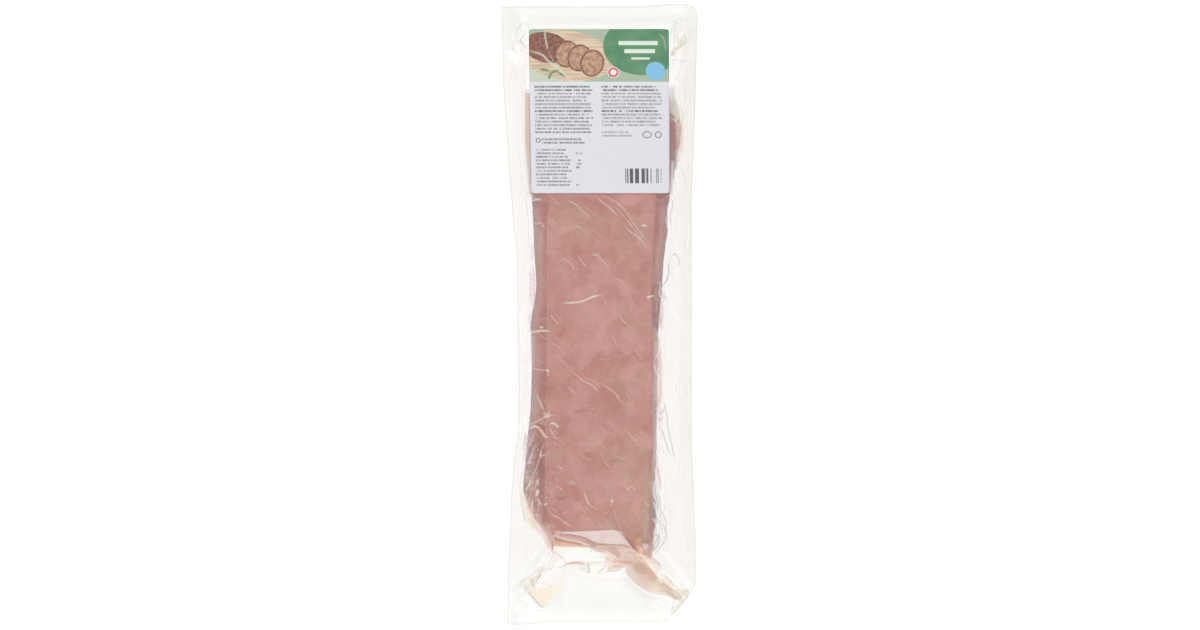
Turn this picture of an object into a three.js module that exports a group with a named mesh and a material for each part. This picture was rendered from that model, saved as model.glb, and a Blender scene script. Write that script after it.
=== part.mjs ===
// A whole salted pork loin fillet in a clear deep-drawn vacuum pack, lying label side up.
// Millimetres. +X is right across the pack, +Y runs to the labelled end, +Z is up.
// The origin is on the table under the middle of the pack.

import * as THREE from "three";

// Heights above the table.
const MEAT_TOP = 45;
const SEAL_HEIGHT = 33;
const SEAL_THICKNESS = 1;

// Where the pack's outline runs, as [y, x] stations from the bottom edge to the top edge.
const FILM_BOTTOM = -220;
const FILM_TOP = 220.5;
const FILM_LEFT = [
  [-222, -66], [-190, -65.5], [-132, -63.2], [-111, -61.8], [-84, -58.3], [-54, -57.8],
  [-18, -58.5], [39, -58.9], [75, -62.5], [110, -65.3], [167, -68.9], [222, -70.3],
];
const FILM_RIGHT = [
  [-222, 68.9], [-161, 68.9], [-125, 67.5], [-88, 66], [82, 66], [118, 67.5], [160, 68.9], [212, 70.3],
];
const CORNER_RADIUS = { topLeft: 1.5, topRight: 9, bottomLeft: 3 };
const CUT_CORNER = { start: -193, width: 22, rounding: 0.62 };
const END_BOW = { topRight: 2, bottomLeft: 2.4, reach: 60 };

// The line where the film leaves the side of the meat, and the edge of the flat pressed top.
const MEAT_LEFT = [
  [-222, -30], [-180, -31], [-166, -34.5], [-152, -42.5], [-136, -51], [-124, -55.2], [-90, -52.6],
  [-66, -49.2], [-38, -48.8], [-6, -49.5], [20, -45.6], [53, -47.4], [84, -48.6], [88, -50.6],
  [100, -51.6], [118, -53.4], [142, -53.4], [160, -53.4], [222, -54.5],
];
const MEAT_RIGHT = [
  [-222, 32], [-180, 34], [-170, 37.5], [-160, 39.2], [-146, 41.4], [-118, 39.6], [-94, 40.4],
  [-58, 41.2], [-8, 41.8], [20, 44.2], [49, 46.8], [59, 50], [74, 49], [87, 51.6], [109, 55.4],
  [125, 58.3], [134, 58.9], [144, 57.4], [157, 53.2], [222, 53.2],
];
const FLAT_LEFT = [
  [-222, -22], [-168, -26], [-154, -33], [-136, -37.4], [-90, -37.7], [-6, -37], [62, -37.2],
  [80, -35.4], [86, -48.9], [204, -51.4], [222, -51.4],
];
const FLAT_RIGHT = [
  [-222, 24], [-166, 31.5], [-150, 35], [-94, 37.7], [-20, 37.5], [6, 36.2], [49, 37.6],
  [80, 39.4], [86, 50.3], [222, 50.3],
];
const BAND_CONVEXITY = 0.35;
const TOP_ROLL_OFF = 1.2;

// The two ends of the meat: the slope at the bare end and the ramp under the label.
const BARE_END = { foot: -177.5, footRise: 10, edge: -154, edgeDrop: 11, dropFrom: 14, dropTo: 30 };
const LABEL_END = { rampStart: 150, rampEnd: 209 };

// The underside: a flat rest with rounded lower edges.
const LOWER_EDGE = 11;
const LOWER_END = { bare: -172, label: 181, edge: 17 };

// How the sealed margin lies.
const MARGIN = { start: 44, width: 25, sideDroop: 2.2, endStart: 176, endDroop: 4, endWidth: 46 };
const WAVE = { height: 0.8, length: 71, phase: 0.9 };

// Film gathered at the corners: start and end points, heights and half widths of each ridge.
const GATHERS = [
  { from: [-33, -168], to: [-57, -197], heights: [6.5, 2], widths: [6, 4] },
  { from: [-56, -195], to: [-45, -209], heights: [2, 0.6], widths: [5, 4] },
  { from: [31, -170], to: [63, -203], heights: [8, 2.5], widths: [8, 5] },
  { from: [24, -172], to: [44, -196], heights: [4, 1], widths: [9, 6] },
  { from: [-8, -178], to: [17, -181], heights: [2.2, 1.4], widths: [5, 4] },
  { from: [-55, 182], to: [-61, 190], heights: [2.5, 1.6], widths: [3.5, 4] },
  { from: [-54, 196], to: [-56, 206], heights: [1.2, 1.2], widths: [4, 3.5] },
  { from: [55, 176], to: [61, 194], heights: [3.4, 1.6], widths: [3.5, 3.5] },
];

// Folds of loose film that cross the side bands of the meat.
const SIDE_FOLDS = [
  { from: [-50, -12], to: [-35, -11], heights: [1.4, 0.5], widths: [1.8, 2] },
  { from: [-50, -38], to: [-36, -42], heights: [1.3, 0.6], widths: [1.8, 2] },
  { from: [-53, -82], to: [-36, -72], heights: [2, 0.8], widths: [2.5, 3] },
  { from: [-50, -76], to: [-27, -84], heights: [1.6, 0.4], widths: [2.5, 3] },
  { from: [-47, 60], to: [-36, 56], heights: [1.4, 0.6], widths: [2, 2.5] },
  { from: [46, 18], to: [34, 13], heights: [2, 0.5], widths: [2.5, 3] },
  { from: [43, -66], to: [39, -72], heights: [1.4, 0.6], widths: [2.5, 2.5] },
  { from: [42, -118], to: [40, -160], heights: [1.6, 1.2], widths: [2.5, 3] },
];

// The label: its edges as [y, x] stations, and how it lies on the film.
const LABEL_BOTTOM = 86.2;
const LABEL_TOP = 204;
const LABEL_LEFT = [[LABEL_BOTTOM, -48.5], [LABEL_TOP, -50.5]];
const LABEL_RIGHT = [[LABEL_BOTTOM, 49.8], [LABEL_TOP, 49.6]];
const LABEL_CORNER = 1.8;
const LABEL_GAP = 0.35;
const LABEL_THICKNESS = 0.45;

// Rows of each grid, as [y, number of steps to the next y].
const PACK_ROWS = [
  [FILM_BOTTOM, 3], [-213, 8], [-180, 10], [-150, 18], [-60, 22], [80, 3], [92, 9], [150, 10],
  [206, 3], [214, 5], [FILM_TOP, 0],
];
const LABEL_ROWS = [
  [LABEL_BOTTOM, 2], [88, 10], [150, 12], [202.2, 2], [LABEL_TOP, 0],
];
const TOP_STEPS = [4, 4, 12, 4, 4];
const UNDER_STEPS = [4, 6, 8, 6, 4];
const LABEL_STEPS = [1, 1, 14, 1, 1];

const { clamp, lerp, smoothstep } = THREE.MathUtils;

// Value at y of a line given by stations, eased from each station to the next.
function along(stations, y) {
  const last = stations.length - 1;
  if (y <= stations[0][0]) return stations[0][1];
  if (y >= stations[last][0]) return stations[last][1];
  const next = stations.findIndex(([at]) => at > y);
  const [y0, x0] = stations[next - 1];
  const [y1, x1] = stations[next];
  const t = (y - y0) / (y1 - y0);
  return lerp(x0, x1, 0.5 * t + 0.5 * t * t * (3 - 2 * t));
}

// How far a round corner pulls an edge in, at a distance from the end of the sheet.
function cornerInset(distance, radius) {
  const short = Math.max(0, radius - distance);
  return radius - Math.sqrt(Math.max(0, radius * radius - short * short));
}

// The left and right edges of the film at y, with its corners.
function filmLeft(y) {
  const bottom = cornerInset(y - FILM_BOTTOM, CORNER_RADIUS.bottomLeft);
  const top = cornerInset(FILM_TOP - y, CORNER_RADIUS.topLeft);
  return along(FILM_LEFT, y) + bottom + top;
}

function filmRight(y) {
  const share = clamp((CUT_CORNER.start - y) / (CUT_CORNER.start - FILM_BOTTOM), 0, 1);
  const cut = CUT_CORNER.width * (share - (1 - CUT_CORNER.rounding) * share * (1 - share));
  return along(FILM_RIGHT, y) - cut - cornerInset(FILM_TOP - y, CORNER_RADIUS.topRight);
}

// The sealed margin's own height: a slight droop to the edges and a long low wave.
function marginHeight(x, y) {
  const out = clamp((Math.abs(x) - MARGIN.start) / MARGIN.width, 0, 1);
  const past = clamp((Math.abs(y) - MARGIN.endStart) / MARGIN.endWidth, 0, 1);
  const turn = (2 * Math.PI * y) / WAVE.length + WAVE.phase * Math.sign(x);
  const droop = MARGIN.sideDroop * out * out + MARGIN.endDroop * past * past;
  return SEAL_HEIGHT - droop + WAVE.height * Math.sin(turn) * out * (1 - 0.5 * past);
}

// Height that a list of ridges adds at a point. Each is a bell across its own straight line.
function ridges(list, x, y) {
  let height = 0;
  for (const { from, to, heights, widths } of list) {
    const dx = to[0] - from[0];
    const dy = to[1] - from[1];
    const t = clamp(((x - from[0]) * dx + (y - from[1]) * dy) / (dx * dx + dy * dy), 0, 1);
    const away = Math.hypot(x - from[0] - t * dx, y - from[1] - t * dy) / lerp(widths[0], widths[1], t);
    height += lerp(heights[0], heights[1], t) * Math.exp(-away * away);
  }
  return height;
}

// From 0 at the side line to 1 at the flat top: a slightly crowned bevel with a crisp upper edge.
function bevel(t) {
  const s = clamp(t, 0, 1);
  return s * (1 + BAND_CONVEXITY * (1 - s));
}

// Share of the full height that the meat reaches at a point, seen from above.
function topShare(x, y) {
  const left = along(MEAT_LEFT, y);
  const right = along(MEAT_RIGHT, y);
  const across = Math.min(
    (x - left) / (along(FLAT_LEFT, y) - left),
    (right - x) / (right - along(FLAT_RIGHT, y)),
  );
  const foot = BARE_END.foot + BARE_END.footRise * (x / 40) ** 4;
  const edge = BARE_END.edge - BARE_END.edgeDrop * smoothstep(x, BARE_END.dropFrom, BARE_END.dropTo);
  const bareEnd = bevel((y - foot) / Math.max(edge - foot, 6));
  const labelEnd = 1 - smoothstep(y, LABEL_END.rampStart, LABEL_END.rampEnd);
  return bevel(across) * bareEnd * labelEnd;
}

// Upper surface of the pack. Where gathered film meets the meat, the higher of the two wins, eased.
function packTop(x, y) {
  const seal = marginHeight(x, y);
  const flat = MEAT_TOP - TOP_ROLL_OFF * (x / 50) ** 4;
  const body = (flat - seal) * topShare(x, y);
  const folds = y < LABEL_BOTTOM - 6 ? ridges(SIDE_FOLDS, x, y) : 0;
  return seal + Math.cbrt(body ** 3 + ridges(GATHERS, x, y) ** 3) + folds;
}

// A quarter-round from 0 at the edge to 1 on the flat.
function quarterRound(t) {
  const s = 1 - clamp(t, 0, 1);
  return Math.sqrt(1 - s * s);
}

// Lower surface of the pack: the underside of the margin, then down a round edge to the table.
function packUnder(x, y) {
  const across = Math.min(x - along(MEAT_LEFT, y), along(MEAT_RIGHT, y) - x) / LOWER_EDGE;
  const lengthwise = Math.min(y - LOWER_END.bare, LOWER_END.label - y) / LOWER_END.edge;
  const depth = quarterRound(across) * quarterRound(lengthwise);
  return (marginHeight(x, y) - SEAL_THICKNESS) * (1 - depth);
}

// All the y values of a grid.
function rowsOf(plan) {
  const rows = [];
  for (let i = 0; i < plan.length - 1; i += 1) {
    const [y, steps] = plan[i];
    for (let k = 0; k < steps; k += 1) rows.push(lerp(y, plan[i + 1][0], k / steps));
  }
  rows.push(plan[plan.length - 1][0]);
  return rows;
}

// The x values of one row: the guides, with the given number of steps between each two.
function columnsOf(guides, steps) {
  const columns = [];
  steps.forEach((count, i) => {
    for (let k = 0; k < count; k += 1) columns.push(lerp(guides[i], guides[i + 1], k / count));
  });
  columns.push(guides[guides.length - 1]);
  return columns;
}

// The end edges of the film are slightly bowed, which shifts the nearest rows along.
function bowed(x, y) {
  const top = END_BOW.topRight * smoothstep(x, 25, 58) * smoothstep(y, FILM_TOP - END_BOW.reach, FILM_TOP);
  const near = 1 - smoothstep(y, FILM_BOTTOM, FILM_BOTTOM + END_BOW.reach);
  return y + top - END_BOW.bottomLeft * smoothstep(-x, 30, 62) * near;
}

// A closed body between an upper and a lower grid of the same size, joined round the rim.
function closedSheet(upper, lower) {
  const rows = upper.length;
  const columns = upper[0].length;
  const positions = [...upper.flat(), ...lower.flat()].flat();
  const top = (r, c) => r * columns + c;
  const under = (r, c) => rows * columns + r * columns + c;
  const index = [];
  const quad = (a, b, c, d) => index.push(a, b, c, a, c, d);
  for (let r = 0; r < rows - 1; r += 1) {
    for (let c = 0; c < columns - 1; c += 1) {
      quad(top(r, c), top(r, c + 1), top(r + 1, c + 1), top(r + 1, c));
      quad(under(r, c), under(r + 1, c), under(r + 1, c + 1), under(r, c + 1));
    }
    quad(top(r, 0), top(r + 1, 0), under(r + 1, 0), under(r, 0));
    quad(top(r + 1, columns - 1), top(r, columns - 1), under(r, columns - 1), under(r + 1, columns - 1));
  }
  for (let c = 0; c < columns - 1; c += 1) {
    quad(top(0, c + 1), top(0, c), under(0, c), under(0, c + 1));
    quad(top(rows - 1, c), top(rows - 1, c + 1), under(rows - 1, c + 1), under(rows - 1, c));
  }
  const geometry = new THREE.BufferGeometry();
  geometry.setAttribute("position", new THREE.Float32BufferAttribute(positions, 3));
  geometry.setIndex(index);
  geometry.computeVertexNormals();
  return geometry;
}

// The pack: meat tight in clear film, with its flat sealed margin all round.
function bagGeometry() {
  const rows = rowsOf(PACK_ROWS);
  const upper = rows.map((y) => {
    const guides = [
      filmLeft(y), along(MEAT_LEFT, y), along(FLAT_LEFT, y),
      along(FLAT_RIGHT, y), along(MEAT_RIGHT, y), filmRight(y),
    ];
    return columnsOf(guides, TOP_STEPS).map((x) => [x, bowed(x, y), packTop(x, y)]);
  });
  const lower = rows.map((y) => {
    const left = along(MEAT_LEFT, y);
    const right = along(MEAT_RIGHT, y);
    const guides = [filmLeft(y), left, left + LOWER_EDGE, right - LOWER_EDGE, right, filmRight(y)];
    return columnsOf(guides, UNDER_STEPS).map((x) => [x, bowed(x, y), packUnder(x, y)]);
  });
  return closedSheet(upper, lower);
}

// The label: a sheet with round corners that lies on the film just clear of it.
function labelGeometry() {
  const layer = (lift) =>
    rowsOf(LABEL_ROWS).map((y) => {
      const inset = cornerInset(Math.min(y - LABEL_BOTTOM, LABEL_TOP - y), LABEL_CORNER);
      const left = along(LABEL_LEFT, y);
      const right = along(LABEL_RIGHT, y);
      const guides = [left + inset, left + 2, left + 5, right - 5, right - 2, right - inset];
      return columnsOf(guides, LABEL_STEPS).map((x) => [x, y, packTop(x, y) + lift]);
    });
  return closedSheet(layer(LABEL_GAP + LABEL_THICKNESS), layer(LABEL_GAP));
}

function named(name, geometry, color, roughness) {
  const material = new THREE.MeshStandardMaterial({ color, roughness, metalness: 0 });
  const mesh = new THREE.Mesh(geometry, material);
  mesh.name = name;
  return mesh;
}

const pack = new THREE.Group();
pack.add(named("bag", bagGeometry(), 0xc0938a, 0.25));
pack.add(named("label", labelGeometry(), 0xe6e5ea, 0.5));

export default pack;
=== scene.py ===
"""A whole salted pork loin fillet in a clear vacuum pack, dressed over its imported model.

Surfaces are worked out in millimetres on numpy grids and written to meshes in metres.
+X is right across the pack, +Y runs to the labelled end and +Z is up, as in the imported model.
"""

import bpy
import numpy as np
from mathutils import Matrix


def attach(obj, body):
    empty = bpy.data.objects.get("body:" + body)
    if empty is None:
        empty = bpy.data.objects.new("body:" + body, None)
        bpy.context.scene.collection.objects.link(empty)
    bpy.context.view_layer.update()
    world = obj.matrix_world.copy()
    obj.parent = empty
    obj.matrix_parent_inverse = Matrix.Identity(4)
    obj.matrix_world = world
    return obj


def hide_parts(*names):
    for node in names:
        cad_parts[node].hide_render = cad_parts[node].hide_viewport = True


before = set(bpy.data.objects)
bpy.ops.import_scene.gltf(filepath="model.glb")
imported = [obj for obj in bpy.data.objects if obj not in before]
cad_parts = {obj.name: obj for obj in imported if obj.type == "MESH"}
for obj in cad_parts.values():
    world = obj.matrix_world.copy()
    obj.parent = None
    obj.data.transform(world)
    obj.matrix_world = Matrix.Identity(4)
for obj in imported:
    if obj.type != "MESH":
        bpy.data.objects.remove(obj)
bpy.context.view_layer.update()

bl_info = {
    "name": "Vacuum-packed pork loin",
    "version": (1, 0, 0),
    "blender": (4, 5, 0),
    "location": "3D View > Sidebar > Pork loin pack",
    "description": "Builds the meat, the film, the label and the stage of a vacuum-packed pork loin",
    "category": "Object",
}

MM = 0.001

# Stations of the pack's lines as (y, x): the film's edges, the sides of the meat and its flat top.
FILM_BOTTOM, FILM_TOP = -220.0, 220.5
FILM_LEFT = [
    (-222, -66), (-190, -65.5), (-132, -63.2), (-111, -61.8), (-84, -58.3), (-54, -57.8),
    (-18, -58.5), (39, -58.9), (75, -62.5), (110, -65.3), (167, -68.9), (222, -70.3),
]
FILM_RIGHT = [
    (-222, 68.9), (-161, 68.9), (-125, 67.5), (-88, 66), (82, 66), (118, 67.5), (160, 68.9), (212, 70.3),
]
MEAT_LEFT = [
    (-222, -30), (-180, -31), (-166, -34.8), (-153, -41.8), (-146, -46.6), (-137, -51.2), (-125, -55),
    (-90, -51.9), (-66, -49.6), (-38, -48.8), (-6, -49.5), (20, -45.6), (53, -47.4), (84, -48.6),
    (88, -50.6), (100, -51.6), (118, -53.4), (142, -53.4), (160, -53.4), (222, -54.5),
]
MEAT_RIGHT = [
    (-222, 32), (-180, 34), (-170, 37.5), (-160, 39.2), (-146, 41.4), (-118, 40.2), (-94, 41.3),
    (-58, 41.4), (-8, 42.6), (20, 45.2), (36, 46.2), (49, 47.6), (60, 49.4), (74, 49), (87, 51.4),
    (109, 55), (125, 58.3), (134, 58.9), (144, 57.4), (157, 53.2), (222, 53.2),
]
FLAT_LEFT = [
    (-222, -22), (-168, -26), (-154, -33), (-136, -37.4), (-90, -37.7), (-6, -37), (62, -37.2),
    (80, -35.4), (86, -48.9), (204, -51.4), (222, -51.4),
]
FLAT_RIGHT = [
    (-222, 24), (-166, 31.5), (-150, 35), (-94, 37.7), (-20, 37.5), (6, 36.2), (49, 37.6),
    (80, 39.4), (86, 50.3), (222, 50.3),
]

# The film's round corners, its cut lower right corner and the bow of its end edges. The film keeps
# EDGE_TRIM inside its outline, no crease rises past CREST, and the foot's sheet ends at FOOT_CUT.
CORNER_TOP_LEFT, CORNER_TOP_RIGHT, CORNER_BOTTOM_LEFT = 1.5, 9.0, 3.0
CUT_START, CUT_WIDTH, CUT_ROUNDING = -193.0, 22.0, 0.62
BOW_TOP_RIGHT, BOW_BOTTOM_LEFT, BOW_REACH = 2.0, 2.4, 60.0
EDGE_TRIM, CREST = 0.02, 45.75
FOOT_CUT = -145.0

# Rows of the grids along the pack, as (y, steps to the next), and the steps between guide lines across.
UPPER_ROWS = [
    (FILM_BOTTOM + EDGE_TRIM, 6), (-217, 150), (FOOT_CUT, 100), (-84, 34), (-64, 212), (72, 22),
    (86, 118), (188, 40), (214, 10), (FILM_TOP - EDGE_TRIM, 0),
]
UPPER_STEPS = [58, 22, 140, 18, 54]
LOWER_ROWS = [
    (FILM_BOTTOM + EDGE_TRIM, 5), (-217, 100), (-145, 130), (-64, 180), (72, 150), (188, 40),
    (214, 10), (FILM_TOP - EDGE_TRIM, 0),
]
LOWER_STEPS = [14, 24, 28, 20, 14]
LOIN_END, LOIN_START = -168.0, 158.0
LOIN_ROWS = [(LOIN_END, 30), (-150, 200), (90, 70), (LOIN_START, 0)]
LOIN_STEPS = [30, 90, 30]

# Shape of the meat's ends and lower edge, and the lie of the sealed margin.
BAND_CONVEXITY = 0.35
TOP_ROLL_OFF = 1.2
END_FOOT, END_FOOT_RISE, END_EDGE, END_EDGE_DROP = -177.5, 10.0, -154.0, 11.0
END_DROP_FROM, END_DROP_TO = 14.0, 30.0
RAMP_START, RAMP_END = 150.0, 209.0
LOWER_EDGE, LOWER_BARE, LOWER_LABEL, LOWER_END_EDGE = 11.0, -172.0, 181.0, 17.0
MARGIN_START, MARGIN_WIDTH, SIDE_DROOP = 44.0, 25.0, 2.2
END_START, END_WIDTH, END_DROOP = 176.0, 46.0, 4.0
WAVE_HEIGHT, WAVE_LENGTH, WAVE_PHASE = 0.8, 71.0, 0.9

# Least and most lift of the creases. Of the loin: how far its seam lies below the margin, how much
# further its right corner at the bare end reaches, and the length over which each end closes.
LIFT_LOW, LIFT_HIGH = -0.3, 1.2
SEAM_DROP, CORNER_LEAN, CLOSING_END, CLOSING_START = 0.6, 5.0, 6.0, 12.0

# Film gathered at the corners and folds across the side bands: from, to, heights, half widths.
GATHERS = [
    ((-33, -168), (-57, -197), (6.5, 2), (6, 4)),
    ((-56, -195), (-45, -209), (2, 0.6), (5, 4)),
    ((31, -170), (63, -203), (8, 2.5), (8, 5)),
    ((24, -172), (44, -196), (4, 1), (9, 6)),
    ((-8, -178), (17, -181), (2.2, 1.4), (5, 4)),
    ((-55, 182), (-61, 190), (2.5, 1.6), (3.5, 4)),
    ((-54, 196), (-56, 206), (1.2, 1.2), (4, 3.5)),
    ((55, 176), (61, 194), (3.4, 1.6), (3.5, 3.5)),
]
SIDE_FOLDS = [
    ((-50, -12), (-35, -11), (1.4, 0.5), (1.8, 2)),
    ((-50, -38), (-36, -42), (1.3, 0.6), (1.8, 2)),
    ((-53, -82), (-36, -72), (2, 0.8), (2.5, 3)),
    ((-50, -76), (-27, -84), (1.6, 0.4), (2.5, 3)),
    ((-47, 60), (-36, 56), (1.4, 0.6), (2, 2.5)),
    ((46, 18), (34, 13), (2, 0.5), (2.5, 3)),
    ((43, -66), (39, -72), (1.4, 0.6), (2.5, 2.5)),
    ((42, -118), (40, -160), (1.6, 1.2), (2.5, 3)),
]

# The label's edges as (y, x), its round corners, the rows and steps of its grid, and a fold's lift.
LABEL_BOTTOM, LABEL_TOP = 86.2, 204.0
LABEL_LEFT = [(LABEL_BOTTOM, -48.5), (LABEL_TOP, -50.5)]
LABEL_RIGHT = [(LABEL_BOTTOM, 49.8), (LABEL_TOP, 49.6)]
LABEL_CORNER = 1.8
LABEL_ROWS = [(LABEL_BOTTOM, 4), (88, 200), (202.2, 4), (LABEL_TOP, 0)]
LABEL_STEPS = [4, 172, 4]
FOLD_LIFT = 0.08

# The label's print in mm right and down from its upper left corner: slices by centre, leaves by centre
# and turn, badges by centre, radius, cover and colour, bars and text as ranges across and down, text with
# seed and darkness, signs by centre and radii. CHART_MM is the length of one unit of the UV map.
CHART_MM = 100.0
LABEL_HEADER = 40.0
TEXT_PITCH = 2.5
SLICES = [(27, 19), (36, 22), (45, 26)]
LEAVES = [((19, 32), 20), ((23.5, 34.5), -25), ((15, 35), 65), ((11, 31), -10)]
TITLE_BARS = [((64, 92), (9.0, 12.2)), ((68, 90), (15.2, 18.4)), ((73, 86), (21.6, 23.2))]
BADGES = [
    ((90, 32), 7.0, 1.0, "7FC0E4"), ((60, 33), 4.2, 1.0, "F4EDE8"),
    ((60, 33), 3.7, 0.95, "D0544C"), ((60, 33), 2.2, 1.0, "F4EDE8"),
]
TEXT_BLOCKS = [
    ((3.5, 46), (42.5, 47.5), 3.0, 1.0), ((3.5, 46), (47.5, 60), 3.0, 0.7), ((3.5, 46), (60, 62.5), 5.0, 1.0),
    ((3.5, 46), (62.5, 77.5), 7.0, 0.75), ((51, 95), (42.5, 47.5), 11.0, 1.0),
    ((51, 95), (47.5, 60), 13.0, 0.65), ((51, 95), (60, 62.5), 17.0, 1.0),
    ((51, 95), (62.5, 72.5), 19.0, 0.7), ((51, 74), (75, 80), 23.0, 0.6), ((8, 40), (80, 85), 41.0, 0.8),
    ((3.5, 30), (87.5, 115), 31.0, 0.75), ((32, 37), (90, 115), 57.0, 0.75),
]
SIGNS = [((83, 78), (3.4, 2.4)), ((91, 78), (2.4, 2.4)), ((5.5, 82), (1.7, 1.7))]
SIGN_LINE = 0.6
BAR_CODE = ((67, 93), (102, 112.5))

# Ways a crease looks: half width and lift in mm, colour, and how much of what is below it covers. Some styles
# paint light and shade into the film's colour, as noted at each.
STYLES = {
    # cream: film whitened where it lifts off the meat, partly a painted highlight along the fold's ridge
    "cream": (0.85, 0.3, "F3DECF", 0.92),
    # peach: a warm painted highlight along a fold's ridge
    "peach": (0.65, 0.4, "FBE6CE", 0.9),
    "bright": (0.42, 0.14, "F3D5C6", 0.86),
    "faint": (0.42, 0.08, "EBC6B8", 0.74),
    "wide": (1.1, 0.1, "DDB6AA", 0.4),
    # edge: a painted highlight along the edge of the flat top
    "edge": (0.5, 0.05, "DDB0A4", 0.66),
    "pink": (0.68, 0.25, "EBCBC4", 0.8),
    "blush": (0.42, 0.18, "F2DAD4", 0.78),
    "rose": (0.9, 0.2, "DDA99C", 0.7),
    # white: a painted highlight, the glint along a fold's ridge
    "white": (0.5, 0.4, "FFFFFF", 0.85),
    "haze": (0.45, 0.2, "CFCBBE", 0.5),
    # grey: painted shade beside a wrinkle
    "grey": (0.4, 0.2, "A6A296", 0.6),
    "brown": (0.38, 0.1, "B5957E", 0.62),
    "umber": (0.32, 0, "B3877A", 0.42),
    "fold": (0.32, 0, "B98F80", 0.45),
    # line: a darker line of painted shade beside a wrinkle
    "line": (0.35, 0.15, "8E8980", 0.6),
    "thread": (0.35, -0.1, "A07468", 0.62),
    "dark": (0.5, -0.1, "A8766B", 0.38),
}

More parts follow.
